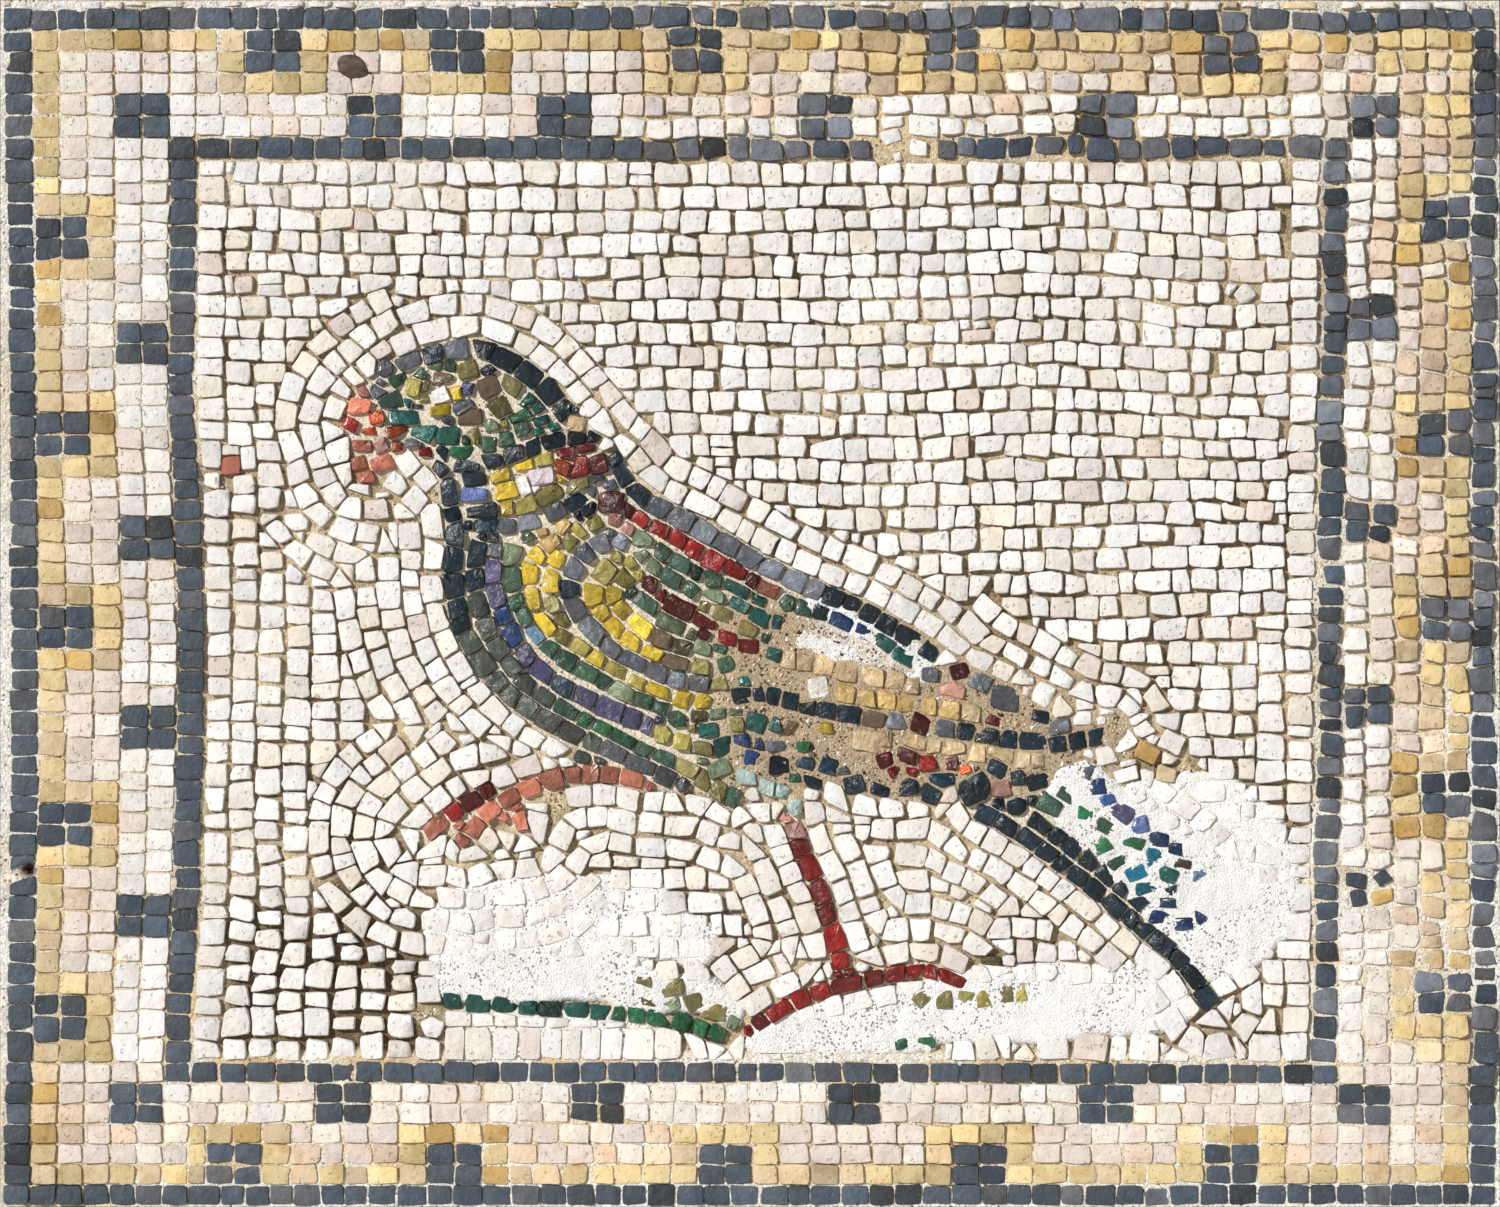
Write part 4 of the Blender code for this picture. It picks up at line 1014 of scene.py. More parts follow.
def bird_outline():
    """The outline of the bird with the gaps between its rows closed, a margin outside them."""
    return max(outlines(FIELD - CLOSING, XS, ZS), key=area_of)


def bird_depth():
    """How deep each point of the bird's grid lies inside the bird, rows and the gaps between them."""
    grid = grid_of(XS, ZS)
    away = distance_to_line(grid, OUTLINE)
    return np.where(inside(grid, OUTLINE), away, -away) - CLOSING


def depth_at(points):
    """The depth inside the bird at some points, blended linearly from the four nearest grid points."""
    u = np.clip((points[..., 0] - XS[0]) / (XS[1] - XS[0]), 0, len(XS) - 1.001)
    v = np.clip((points[..., 1] - ZS[0]) / (ZS[1] - ZS[0]), 0, len(ZS) - 1.001)
    column, row = np.floor(u).astype(int), np.floor(v).astype(int)
    return blend_four(DEPTH, row, column, u - column, v - row)


def in_bird(places):
    """Whether places lie inside the bird, on or between its rows."""
    return depth_at(places) > 0.6 * MM


def crumbled(points):
    """A closed outline with uneven edges: the smooth line through some points, moved in and out along
    its normal by noise.
    """
    path, _ = smooth_path(points + points[:1], 2.5 * MM)
    path = path[:-1]
    if area_of(path) < 0:
        path = path[::-1]
    noise = (value_noise(path[:, 0], path[:, 1], 14 * MM, 5) * 2.2
             + value_noise(path[:, 0], path[:, 1], 5 * MM, 6) * 1.2) * MM
    return path + side_normals(path) * noise[:, None]


def repair_outlines(name):
    """The outline of a repair, and that of its bare part."""
    return (crumbled(bird_points(REPAIR_SHARES[name])),
            crumbled([np.array(point) * MM for point in BARE_PLASTER[name]]))


def ring_limit(middle):
    """How many white rows follow the bird's outline at a place: the most before and under the breast."""
    x, z = middle / MM
    if z > 0 and x > -140:
        return 2
    if x < -60 and z < 30:
        return 5
    if x > 100 and z < -40:
        return 2
    return RING_ROWS


def lay_rings():
    """Lay the white rows that follow the bird, one outside the other."""
    for row in range(6):
        level = JOINT / 2 + (row + 0.5) * RING_ROW
        for loop in outlines(FIELD - level, XS, ZS):
            if abs(area_of(loop)) > (3 * TESSERA_WIDTH) ** 2:
                lay_ring(loop, row)


def lay_ring(loop, row):
    """Lay one ring of white tesserae along a closed line."""
    for _ in range(4):
        loop = (np.roll(loop, 1, axis=0) + 2 * loop + np.roll(loop, -1, axis=0)) / 4
    closed = np.vstack([loop, loop[:1]])
    run = lengths_along(closed)
    if run[-1] < 4 * TESSERA_WIDTH:
        return
    cuts = split(0.0, run[-1], FIELD_PIECE, 0.2)
    ends = points_at(cuts, run, closed)
    ahead = points_at((cuts + MM) % run[-1], run, closed)
    normal = left_of(ahead - ends) * RING_ROW / 2
    for k in range(len(cuts) - 1):
        quad = np.array([ends[k] - normal[k], ends[k + 1] - normal[k + 1],
                         ends[k + 1] + normal[k + 1], ends[k] + normal[k]])
        middle = quad.mean(axis=0)
        if row < ring_limit(middle):
            lay_white(uneven(quad, 0.55 * MM), 0.4, least=0.3)


def lay_white(quad, wear, least=0.22):
    """Lay a stone of the white field, cut at the field's edges, unless its place is lost, in the bird
    or in bare plaster.
    """
    middle = quad.mean(axis=0)
    if missing(middle) or in_bird(middle):
        return
    low = np.array([field_low.x, field_low.z])
    high = np.array([field_high.x, field_high.z])
    for point, normal in ((low, (1, 0)), (low, (0, 1)), (high, (-1, 0)), (high, (0, -1))):
        quad = cut(quad, point, np.array(normal, float))
        if len(quad) < 3:
            return
    loose = looseness(middle)
    if loose > 0:
        wear = wear + 0.25 * loose
        quad = middle + (quad - middle) * (1 - 0.07 * loose * random.random())
        quad = uneven(quad, 0.45 * loose * MM)
    sunk = random.uniform(0.0, 0.25) * loose * MM
    wear = wear * random.uniform(0.55, 1.6)
    shade = pick(WHITES)
    for washed, bare in repair_places.values():
        if inside(middle, bare):
            return
        if inside(middle, washed):
            sunk = random.uniform(0.05, 0.35) * MM
            shade = pick(PLASTERED_WHITES)
            wear = 0.7
    lay("white_field", leant(quad), shade, wear, sunk, least)


# Places in the white field where the stones sit loose in gravelly mortar: x, z and radius in mm
LOOSE_PLACES = (
    (-172.0, -156.0, 50.0), (152.0, -54.0, 30.0), (-100.0, -112.0, 26.0), (120.0, -30.0, 18.0),
    (-132.0, 50.0, 24.0), (-200.0, 30.0, 30.0), (52.0, 20.0, 22.0), (98.0, 175.0, 14.0))


def looseness(middle):
    """How loose the stones sit at a place, from 0 to 1."""
    return max(float(1 - soft_step(math.hypot(*(middle / MM - (x, z))), 0.6 * radius, radius))
               for x, z, radius in LOOSE_PLACES)


def lay_columns(left, right, bottom, top, wear):
    """Lay white stones in upright columns, whose sides wave a little."""
    count = max(1, int(round((right - left) / COLUMN_WIDTH)))
    lines = np.linspace(left, right, count + 1)
    for k in range(count):
        cuts = split(bottom, top, 9.0 * MM, 0.2)
        for low, high in zip(cuts[:-1], cuts[1:]):
            sides = []
            for line, inner in ((lines[k], k > 0), (lines[k + 1], True)):
                for height in (low, high):
                    wave = 1.3 * MM * value_noise(line, height, 45 * MM, 11) if inner else 0.0
                    sides.append((line + wave, height))
            quad = np.array([sides[0], sides[2], sides[3], sides[1]])
            lay_white(uneven(quad, (0.3 + 0.55 * wear) * MM), wear)


def lay_rows(left, right, bottom, top, wear, pitch=FIELD_ROW):
    """Lay white stones in level rows, whose lines wave a little."""
    count = max(1, int(round((top - bottom) / pitch)))
    lines = np.linspace(top, bottom, count + 1)
    for k in range(count):
        cuts = split(left, right, FIELD_PIECE, 0.22)
        for low, high in zip(cuts[:-1], cuts[1:]):
            quad = []
            for x, z in ((low, lines[k + 1]), (high, lines[k + 1]), (high, lines[k]), (low, lines[k])):
                calm = min(1.0, abs(z - top) / (20 * MM), abs(z - bottom) / (20 * MM))
                quad.append((x, z + calm * 2.6 * MM * value_noise(x, z, 70 * MM, 23)))
            quad = uneven(np.array(quad), (0.3 + 0.6 * wear) * MM)
            if random.random() < 0.012:
                share = random.uniform(0.4, 0.6)
                split_low = quad[0] + (quad[3] - quad[0]) * share
                split_high = quad[1] + (quad[2] - quad[1]) * share
                lay_white(np.array([quad[0], quad[1], split_high, split_low]), wear)
                lay_white(np.array([split_low, split_high, quad[2], quad[3]]), wear)
            else:
                lay_white(quad, wear)


def fill_gaps(where, least_room, most, lay_at):
    """Fill gaps with uneven stones, the widest gap first, until none is wider than the least room: each
    stone has four to six corners on a circle round the gap's middle, and is trimmed by its neighbours.
    """
    where = where.copy()
    while where.any():
        room = np.where(where, free, 0.0)
        row, column = np.unravel_index(room.argmax(), room.shape)
        if room[row, column] < least_room:
            break
        radius = min(room[row, column] + 1.9 * MM, most)
        count = int(random.integers(4, 7))
        angles = random.uniform(0, 2 * math.pi) + np.arange(count) * 2 * math.pi / count
        middle = np.array([FREE_XS[column], FREE_ZS[row]])
        corners = middle + uneven(np.column_stack([np.cos(angles), np.sin(angles)]) * radius, 0.4 * MM)
        lay_at(middle, corners)
        where[max(row - 1, 0):row + 2, max(column - 1, 0):column + 2] = False


def fill_bird():
    """Fill the gaps between the bird's rows with stones in the shade and the node of the nearest row,
    but leave the worn wing and rump bare.
    """
    kept = {name: path for name, (path, _, _) in bird.items() if name not in BROKEN_ROWS}
    points = np.vstack(list(kept.values()))
    owners = [name for name, path in kept.items() for _ in path]
    places = np.concatenate([np.linspace(0, 1, len(path)) for path in kept.values()])

    def lay_at(middle, corners):
        nearest = int(((points - middle) ** 2).sum(axis=1).argmin())
        name = owners[nearest]
        shade = shade_along(name, places[nearest])
        lay(NODE_OF.get(name, name), corners, shade, 0.7, least=0.2)

    grid = grid_of(FREE_XS, FREE_ZS)
    where = in_bird(grid)
    where &= worn_share(grid[..., 0], grid[..., 1]) < random.uniform(0.0, 1.0, where.shape) * 0.5
    for name, (washed, bare) in repair_places.items():
        where &= ~inside(grid, washed if name == "repair_wing" else bare)
    fill_gaps(where, LEAST_ROOM, 4.6 * MM, lay_at)


def fill_white_field():
    """Fill the gaps where the white rows meet, except in the lost places and in bare plaster."""
    grid = grid_of(FREE_XS, FREE_ZS)
    where = ((grid[..., 0] > field_low.x + MM) & (grid[..., 0] < field_high.x - MM)
             & (grid[..., 1] > field_low.z + MM) & (grid[..., 1] < field_high.z - MM))
    where &= depth_at(grid) < 0
    for x, z, radius in MISSING.values():
        where &= np.hypot(grid[..., 0] - x * MM, grid[..., 1] - z * MM) > (radius + 1.5) * MM
    fill_gaps(where, LEAST_ROOM_WHITE, 5.2 * MM,
              lambda middle, corners: lay_white(corners, 0.6, least=0.15))


def worn_share(x, z):
    """How bare the bird is worn at a place, from 0 to 1: between the wing and the rump."""
    low = bird_start + BIRD_LENGTH * np.array([0.40, -0.24])
    high = bird_start + BIRD_LENGTH * np.array([0.90, -0.02])
    return between(x, low[0], high[0], 20 * MM) * between(z, low[1], high[1], 14 * MM)


def lay_white_field():
    """Lay the white field: rows that follow the bird, level rows under the ground line, columns at the
    sides, and level rows in all the rest.
    """
    left, right = field_low.x, field_high.x
    bottom, top = field_low.z, field_high.z
    lay_rings()
    lay_rows(-122.0 * MM, -10.0 * MM, bottom, bottom + 19.5 * MM, 0.15, 9.7 * MM)
    legs, beak, rump, tail = -55.0 * MM, 73.0 * MM, -10.0 * MM, -135.0 * MM
    before_ground = -123.0 * MM
    for low_x, high_x, low_z, high_z, wear in (
            (left, left + COLUMN_WIDTH, beak, top, 0.35),
            (left, before_ground, bottom, legs, 0.55),
            (left, before_ground, legs, beak, 0.4),
            (right - 2 * COLUMN_WIDTH, right, tail, rump, 0.5),
            (right - COLUMN_WIDTH, right, rump, top, 0.4)):
        lay_columns(low_x, high_x, low_z, high_z, wear)
    lay_rows(left, right, bottom, top, 0.45)


def add_object(name, points, faces, material, smooth_angle=None):
    """Make a mesh object from points and faces, finished at the origin."""
    mesh = bpy.data.meshes.new(name)
    mesh.from_pydata(points, [], faces)
    mesh.materials.append(material)
    mesh.update()
    if smooth_angle is not None:
        mesh.shade_smooth()
        mesh.set_sharp_from_angle(angle=math.radians(smooth_angle))
    thing = bpy.data.objects.new(name, mesh)
    bpy.context.scene.collection.objects.link(thing)
    return thing


def paint(thing, colours):
    """Store one linear colour for each vertex, in the attribute tint."""
    attribute = thing.data.color_attributes.new("tint", "FLOAT_COLOR", "POINT")
    attribute.data.foreach_set("color", np.column_stack([colours, np.ones(len(colours))]).ravel())


# How many points each side gets, so that every outline has twelve, and at which shares of the side
POINTS_A_SIDE = {3: (4, 4, 4), 4: (3, 3, 3, 3), 5: (3, 3, 2, 2, 2), 6: (2, 2, 2, 2, 2, 2)}
SIDE_SHARES = {2: (0.14, 0.86), 3: (0.08, 0.5, 0.92), 4: (0.07, 0.36, 0.64, 0.93)}


def rim_of(corners):
    """Twelve points round each of many outlines of equal corner count: each side has its points at
    fixed shares of its length, near both corners and between them.
    """
    count = corners.shape[1]
    along = np.roll(corners, -1, axis=1) - corners
    return np.stack([corners[:, side] + along[:, side] * share for side in range(count)
                     for share in SIDE_SHARES[POINTS_A_SIDE[count][side]]], axis=1)


# For each ring of a tessera's points: depth below its top, share that it is drawn in by, and whether
# it is inside the worn edge
RINGS = (
    (4.4 * MM, 0.05, 0.0),
    (0.9 * MM, 0.0, 0.0),
    (0.14 * MM, 0.0, 1.0),
    (-0.02 * MM, 0.42, 1.0),
)
# How much painted shade each of these rings gets: the buried foot and the lower sides of each stone are
# darkened towards a dark brown, standing in for the shadow in the joints
RING_PAINTED_SHADE = (0.8, 0.28, 0.0, 0.0)
# The level of a stone's top, a little behind the front of the CAD model, which no stone passes
TOP = FRONT + 0.95 * MM


def tessera_points(corners, wear, sunk, chip):
    """Points of many tesserae with the same number of corners: four rings of twelve points, from the
    buried foot up to the worn top, and one point in the middle.

    Each ring is the rim scaled towards the middle, by half a joint and by its own share and inset.
    The rim is shaken and its corners are pulled in by wear, and the whole top leans at random. A chip
    of 1 makes the broken faces of glass.
    """
    count = len(corners)
    rim = rim_of(corners)
    middle = rim.mean(axis=1, keepdims=True)
    after = np.roll(corners, -1, axis=1)
    area = 0.5 * (corners[..., 0] * after[..., 1] - corners[..., 1] * after[..., 0]).sum(axis=1)
    size = np.sqrt(area)[:, None, None] / 2
    worn = wear[:, None, None]
    away = rim - middle
    reach = np.linalg.norm(away, axis=2, keepdims=True)
    pull = np.clip(reach / reach.mean(axis=1, keepdims=True) - 1.0, 0.0, 1.0) * 0.5 * worn**1.5
    shake = random.normal(0.0, 1.0, rim.shape) * size * (0.022 + 0.038 * worn)
    away = away * (1 - pull) + shake
    joint = (0.12 + 0.25 * worn) * MM
    edge = (0.24 + 0.34 * worn) * MM
    slope = random.normal(0.0, 1.0, (count, 1, 2)) * (0.022 + 0.038 * worn + 0.085 * chip)
    rise = random.normal(0.0, 1.0, (count, 1)) * (0.11 + 0.15 * wear[:, None]) * MM
    rings = []
    for depth, scale, inset in RINGS:
        drawn_in = (joint + inset * edge) / size
        ring = within_panel(middle + away * (1 - scale) * (1 - np.minimum(drawn_in, 0.5)))
        level = TOP + depth + sunk[:, None] + rise + ((ring - middle) * slope).sum(axis=2)
        if depth < 0.5 * MM:
            rough = 0.04 + 0.08 * wear[:, None] + 0.15 * chip
            level = level + random.normal(0.0, 1.0, level.shape) * rough * MM
        rings.append(np.stack([ring[..., 0], level, ring[..., 1]], axis=-1))
    level = TOP + sunk[:, None] + rise - (0.02 + 0.16 * wear[:, None] + 0.12 * chip) * MM
    centre = np.stack([middle[..., 0], level, middle[..., 1]], axis=-1)
    points = np.concatenate(rings + [centre], axis=1)
    points[..., 1] = np.maximum(points[..., 1], FRONT + 0.02 * MM)
    return points


def tessera_faces(first):
    """Faces of one tessera: three bands of quads, a fan on top, and one face below."""
    n = RIM_POINTS
    faces = [tuple(first + n - 1 - k for k in range(n))]
    for ring in range(len(RINGS) - 1):
        base = first + ring * n
        faces += [(base + k, base + (k + 1) % n, base + (k + 1) % n + n, base + k + n)
                  for k in range(n)]
    base = first + (len(RINGS) - 1) * n
    faces += [(base + k, base + (k + 1) % n, first + len(RINGS) * n) for k in range(n)]
    return faces


def add_tesserae(node, material):
    """Make one piece of all the tesserae that were laid for a node."""
    glass = material.name == "glass"
    # Painted shade: the stones' lower rings are darkened towards the mortar's dark brown painted shade,
    # standing in for the shadow deep in the joints
    painted_shade_share = np.repeat([*RING_PAINTED_SHADE, 0.0], [RIM_POINTS] * len(RINGS) + [1])
    painted_shade_factor = 1 - painted_shade_share[None, :, None] * (1 - linear(MORTAR_SHADES["painted_shade"]))
    points, colours = [], []
    for count in POINTS_A_SIDE:
        group = [stone for stone in laid[node] if len(stone.corners) == count]
        if not group:
            continue
        corners, wear, sunk = (np.array(given) for given in zip(*[
            (stone.corners, stone.wear, stone.sunk) for stone in group]))
        points.append(tessera_points(corners, wear, sunk, float(glass)))
        shade = np.array([SHADES[stone.shade] for stone in group])
        light = random.normal(0.0, 0.035, (len(group), 1)) * (1.7 if glass else 1.0)
        warmth = random.normal(0.003, 0.005, (len(group), 1)) * np.array([[1.0, 0.2, -1.0]])
        dark = shade.mean(axis=1, keepdims=True) < 0.5
        vivid = np.ptp(shade, axis=1, keepdims=True) > 0.15
        strength = np.where(dark, 2.6, np.where(vivid, 1.6, 0.6))
        shade = np.clip(shade * (1 + light * strength) + warmth, 0.02, 0.985)
        colours.append(linear(shade)[:, None] * painted_shade_factor)
    points = np.concatenate(points)
    per = points.shape[1]
    faces = [face for k in range(len(points)) for face in tessera_faces(k * per)]
    thing = add_object(node + "_tesserae", points.reshape(-1, 3), faces, material, smooth_angle=38)
    paint(thing, np.concatenate(colours).reshape(-1, 3))
    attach(thing, "root")
    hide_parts(node)


def closed_block(name, xs, zs, front, back, material, colours):
    """A slab over a grid: its face is the surface y = front(x, z), its back is flat, and its four
    sides and its back are made from the same border points.
    """
    columns, rows = len(xs), len(zs)
    x, z = np.meshgrid(xs, zs)
    face = np.stack([x, front, z], axis=-1).reshape(-1, 3)
    index = np.arange(rows * columns).reshape(rows, columns)
    quads = np.stack([index[:-1, :-1], index[:-1, 1:], index[1:, 1:], index[1:, :-1]], axis=-1)
    border = np.concatenate([index[0, :-1], index[:-1, -1], index[-1, :0:-1], index[:0:-1, 0]])
    edge = face[border].copy()
    edge[:, 1] = back
    first = len(face)
    points = np.concatenate([face, edge, [[x.mean(), back, z.mean()]]])
    ring = np.arange(len(border))
    after = (ring + 1) % len(border)
    sides = np.stack([border, first + ring, first + after, border[after]], axis=-1)
    fan = np.stack([first + ring, np.full(len(ring), len(points) - 1), first + after], axis=-1)
    faces = quads.reshape(-1, 4).tolist() + sides.tolist() + fan.tolist()
    thing = add_object(name, points, faces, material, smooth_angle=50)
    side_colour = np.tile(linear(MORTAR_SIDE), (len(edge) + 1, 1))
    paint(thing, np.concatenate([colours.reshape(-1, 3), side_colour]))
    return thing


# The mortar's colours, in display values: of its sides and back, and of its kinds
MORTAR_SIDE = (0.80, 0.74, 0.63)
MORTAR_SHADES = {
    "lime": (0.925, 0.90, 0.85),
    "sandy": (0.86, 0.785, 0.65),
    "deep": (0.72, 0.63, 0.48),
    "cream": (0.95, 0.905, 0.825),
    "gravel": (0.74, 0.66, 0.55),
    "washed": (0.955, 0.945, 0.925),
    "ochre": (0.84, 0.72, 0.53),
    "rust": (0.16, 0.09, 0.06),
    # A dark brown painted into the mortar and onto the stones' lower sides where they lie deep in narrow
    # joints: painted shade, standing in for the shadow there
    "painted_shade": (0.40, 0.33, 0.245),
}
GRAIN_TRIES = 90000
# A small rusty hole between two stones of the left border: x and z in mm
RUSTY_HOLE = (-288.6, -106.6)
MORTAR_STEP = 1.8 * MM
PLASTER_STEP = 1.0 * MM
PLASTER_SHADE = (0.985, 0.983, 0.98)
PLASTER_STAIN = (0.93, 0.88, 0.81)


def mortar_shape(x, z):
    """The mortar's front and what it is like at some places: limy and nearly flush in the left and
    bottom border, the left part of the top, a few rows in the top left corner and the ones under the
    ground line, sandy and hollow in the white field, creamy in the bird, and gravelly where the bird's
    wing and rump are worn. It is washed pale by the plaster in the wing, along the outer lines and on
    the right. Where it lies deep in narrow joints it is darkened with painted shade, a dark brown that
    stands in for the shadow there. Its depth below the tops of the stones is a sum of waves of noise.
    """
    edge = 3 * MM
    left = 1 - soft_step(x, field_low.x - edge, field_low.x + edge)
    below = 1 - soft_step(z, field_low.z - edge, field_low.z + edge)
    right = soft_step(x, field_high.x - edge, field_high.x + edge)
    above = soft_step(z, field_high.z - edge, field_high.z + edge)
    border = np.maximum.reduce([left, below, right, above])
    patches = value_noise(x, z, 38 * MM, 3)
    limy = np.maximum(np.maximum(left, below), right * soft_step(-z, 20 * MM, 60 * MM))
    top_left = above * (1 - soft_step(x, -120 * MM, -20 * MM))
    corner_rows = 0.6 * (1 - soft_step(x, -150 * MM, -100 * MM)) * soft_step(z, 148 * MM, 164 * MM)
    ground_rows = (0.9 * soft_step(x, -128 * MM, -114 * MM) * (1 - soft_step(x, -45 * MM, -25 * MM))
                   * soft_step(-z, 159 * MM, 165 * MM))
    limy = np.maximum.reduce([limy, top_left, 0.38 * right, 0.33 * above, corner_rows, ground_rows])
    limy = np.clip(limy * (0.9 + 0.3 * patches) + 0.45 * patches * border, 0, 1)
    clouds = value_noise(x, z, 19 * MM, 12)
    depth = depth_at(np.stack([x, z], axis=-1))
    bird_part = soft_step(depth, -2.5 * MM, 1.0 * MM)
    worn = worn_share(x, z) * np.maximum(bird_part, soft_step(depth, -14 * MM, -4 * MM))
    loose = np.maximum(soft_step(-z, 105 * MM, 135 * MM) * soft_step(x, -214 * MM, -204 * MM),
                       soft_step(-z, 60 * MM, 110 * MM) * soft_step(x, -185 * MM, -165 * MM))
    loose = loose * (1 - soft_step(x, -140 * MM, -110 * MM)) * (1 - border)
    tight = ((1 - soft_step(abs(z + 60 * MM), 45 * MM, 75 * MM))
             * (1 - soft_step(x, -180 * MM, -150 * MM)) * (1 - border))
    hollow = (2.5 + 0.4 * patches + 0.75 * clouds - 0.7 * border + 0.7 * loose - 0.3 * tight
              + 0.75 * right + 0.3 * above)
    hollow = hollow + (0.72 + 0.25 * value_noise(x, z, 7 * MM, 13) - hollow) * 0.95 * limy
    hollow = hollow + (1.85 - hollow) * bird_part * 0.85
    hollow = hollow + (0.95 - hollow) * worn
    from_wing = np.hypot((x - 44 * MM) / 1.9, z + 16 * MM + 0.35 * (x - 44 * MM))
    washed = 0.75 * (1 - soft_step(from_wing, 6 * MM, 15 * MM))
    hollow = hollow + 0.22 * value_noise(x, z, 3.1 * MM, 7) + 0.18 * value_noise(x, z, 1.9 * MM, 8)
    for a, b, radius in MISSING.values():
        near = np.hypot(x - a * MM, z - b * MM)
        hollow = hollow - 0.7 * (1 - soft_step(near, 0.5 * radius * MM, 1.2 * radius * MM))
    hole = 1 - soft_step(np.hypot(x - RUSTY_HOLE[0] * MM, z - RUSTY_HOLE[1] * MM), 1.5 * MM, 4.0 * MM)
    hollow = hollow + 2.5 * hole
    narrow = 1 - soft_step(free_at(x, z), 0.6 * MM, 1.7 * MM)
    # Painted shade: the mortar is darkened where it lies deep in narrow joints, most on the right and
    # least in the bird, standing in for the shadow that falls there
    painted_shade = narrow * soft_step(hollow, 1.4, 2.9) * (0.42 + 0.45 * loose - 0.1 * border + 0.25 * right)
    painted_shade = painted_shade * (1 - 0.7 * bird_part)
    inwards = np.minimum(np.minimum(x - line_low.x, line_high.x - x),
                         np.minimum(z - line_low.z, line_high.z - z))
    lined = border * (1 - soft_step(inwards, TESSERA_WIDTH - 1 * MM, TESSERA_WIDTH + 2 * MM))
    limy_rows = np.maximum(0.75 * lined, 0.45 * below + ground_rows) * limy
    washed = np.maximum.reduce([washed, limy_rows, 0.5 * right])
    ochre = (border * narrow * (0.35 + 0.5 * value_noise(x, z, 11 * MM, 14))
             * (1 - 0.8 * lined) * (1 - 0.4 * right))
    shares = {"deep": np.clip(0.5 * patches, 0, 1), "painted_shade": painted_shade, "cream": bird_part * (1 - worn) * 0.9,
              "gravel": worn, "lime": limy, "washed": washed, "ochre": np.clip(ochre, 0, 0.85),
              "rust": hole}
    return TOP + np.maximum(hollow, 0.25) * MM, shares


def mortar_surface():
    """The mortar between the tesserae, as one slab over the whole panel."""
    xs = np.linspace(panel_low.x, panel_high.x, int((panel_high.x - panel_low.x) / MORTAR_STEP) + 1)
    zs = np.linspace(panel_low.z, panel_high.z, int((panel_high.z - panel_low.z) / MORTAR_STEP) + 1)
    x, z = np.meshgrid(xs, zs)
    front, shares = mortar_shape(x, z)
    colour = np.broadcast_to(MORTAR_SHADES["sandy"], x.shape + (3,)).copy()
    for name, share in shares.items():
        colour += (np.array(MORTAR_SHADES[name]) - colour) * share[..., None]
    colour = np.clip(colour * (1 + 0.06 * value_noise(x, z, 2.3 * MM, 9))[..., None], 0, 1)
    bed = closed_block("mortar_bed_surface", xs, zs, front, 0.0, MATERIALS["mortar"], linear(colour))
    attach(bed, "root")
    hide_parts("mortar_bed")


GRAIN_CORNERS = np.array([(1, 0, 0), (0, 0, 1), (-1, 0, 0), (0, 0, -1), (0, -1, 0), (0, 1, 0)], float)
GRAIN_FACES = np.array([(k, (k + 1) % 4, 4) for k in range(4)]
                       + [((k + 1) % 4, k, 5) for k in range(4)])
GRAIN_SHADES = {"sand": 5, "tan": 4, "brown": 5, "dark_grit": 5, "cream": 4, "white": 3, "maroon": 0.3}


def add_gravel():
    """Grains of gravel that show in the bare mortar: octahedra with shaken corners, most of them where
    the bird is worn and where stones are lost.
    """
    x = random.uniform(field_low.x, field_high.x, GRAIN_TRIES)
    z = random.uniform(field_low.z, field_high.z, GRAIN_TRIES)
    front, shares = mortar_shape(x, z)
    chance = 0.035 + 0.9 * shares["gravel"]
    for a, b, radius in LOOSE_PLACES:
        chance = chance + 0.10 * (np.hypot(x - a * MM, z - b * MM) < radius * MM)
    for a, b, radius in MISSING.values():
        chance = np.maximum(chance, 0.9 * (np.hypot(x - a * MM, z - b * MM) < radius * MM))
    size = random.gamma(4.0, 0.095, GRAIN_TRIES) * MM
    keep = (random.random(GRAIN_TRIES) < chance) & (free_at(x, z) > 0.5 * size)
    for _, bare in repair_places.values():
        keep &= ~inside(np.column_stack([x, z]), bare)
    x, z, front, size = x[keep], z[keep], front[keep], size[keep]
    count = len(x)
    corners = GRAIN_CORNERS[None] * (1 + random.normal(0, 0.22, (count, 6, 3)))
    corners[..., 1] *= 0.8
    angle = random.uniform(0, 2 * math.pi, (count, 1))
    turned_x = corners[..., 0] * np.cos(angle) - corners[..., 2] * np.sin(angle)
    turned_z = corners[..., 0] * np.sin(angle) + corners[..., 2] * np.cos(angle)
    size = size[:, None]
    level = front[:, None] + corners[..., 1] * size - 0.2 * size
    points = np.stack([x[:, None] + turned_x * size, np.maximum(level, FRONT + 0.1 * MM),
                       z[:, None] + turned_z * size], axis=-1)
    faces = (np.arange(count)[:, None, None] * 6 + GRAIN_FACES[None]).reshape(-1, 3)
    shades = np.array([SHADES[pick(GRAIN_SHADES)] for _ in range(count)])
    grains = add_object("gravel_grains", points.reshape(-1, 3), faces.tolist(), MATERIALS["grains"])
    paint(grains, np.repeat(linear(shades), 6, axis=0))
    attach(grains, "root")


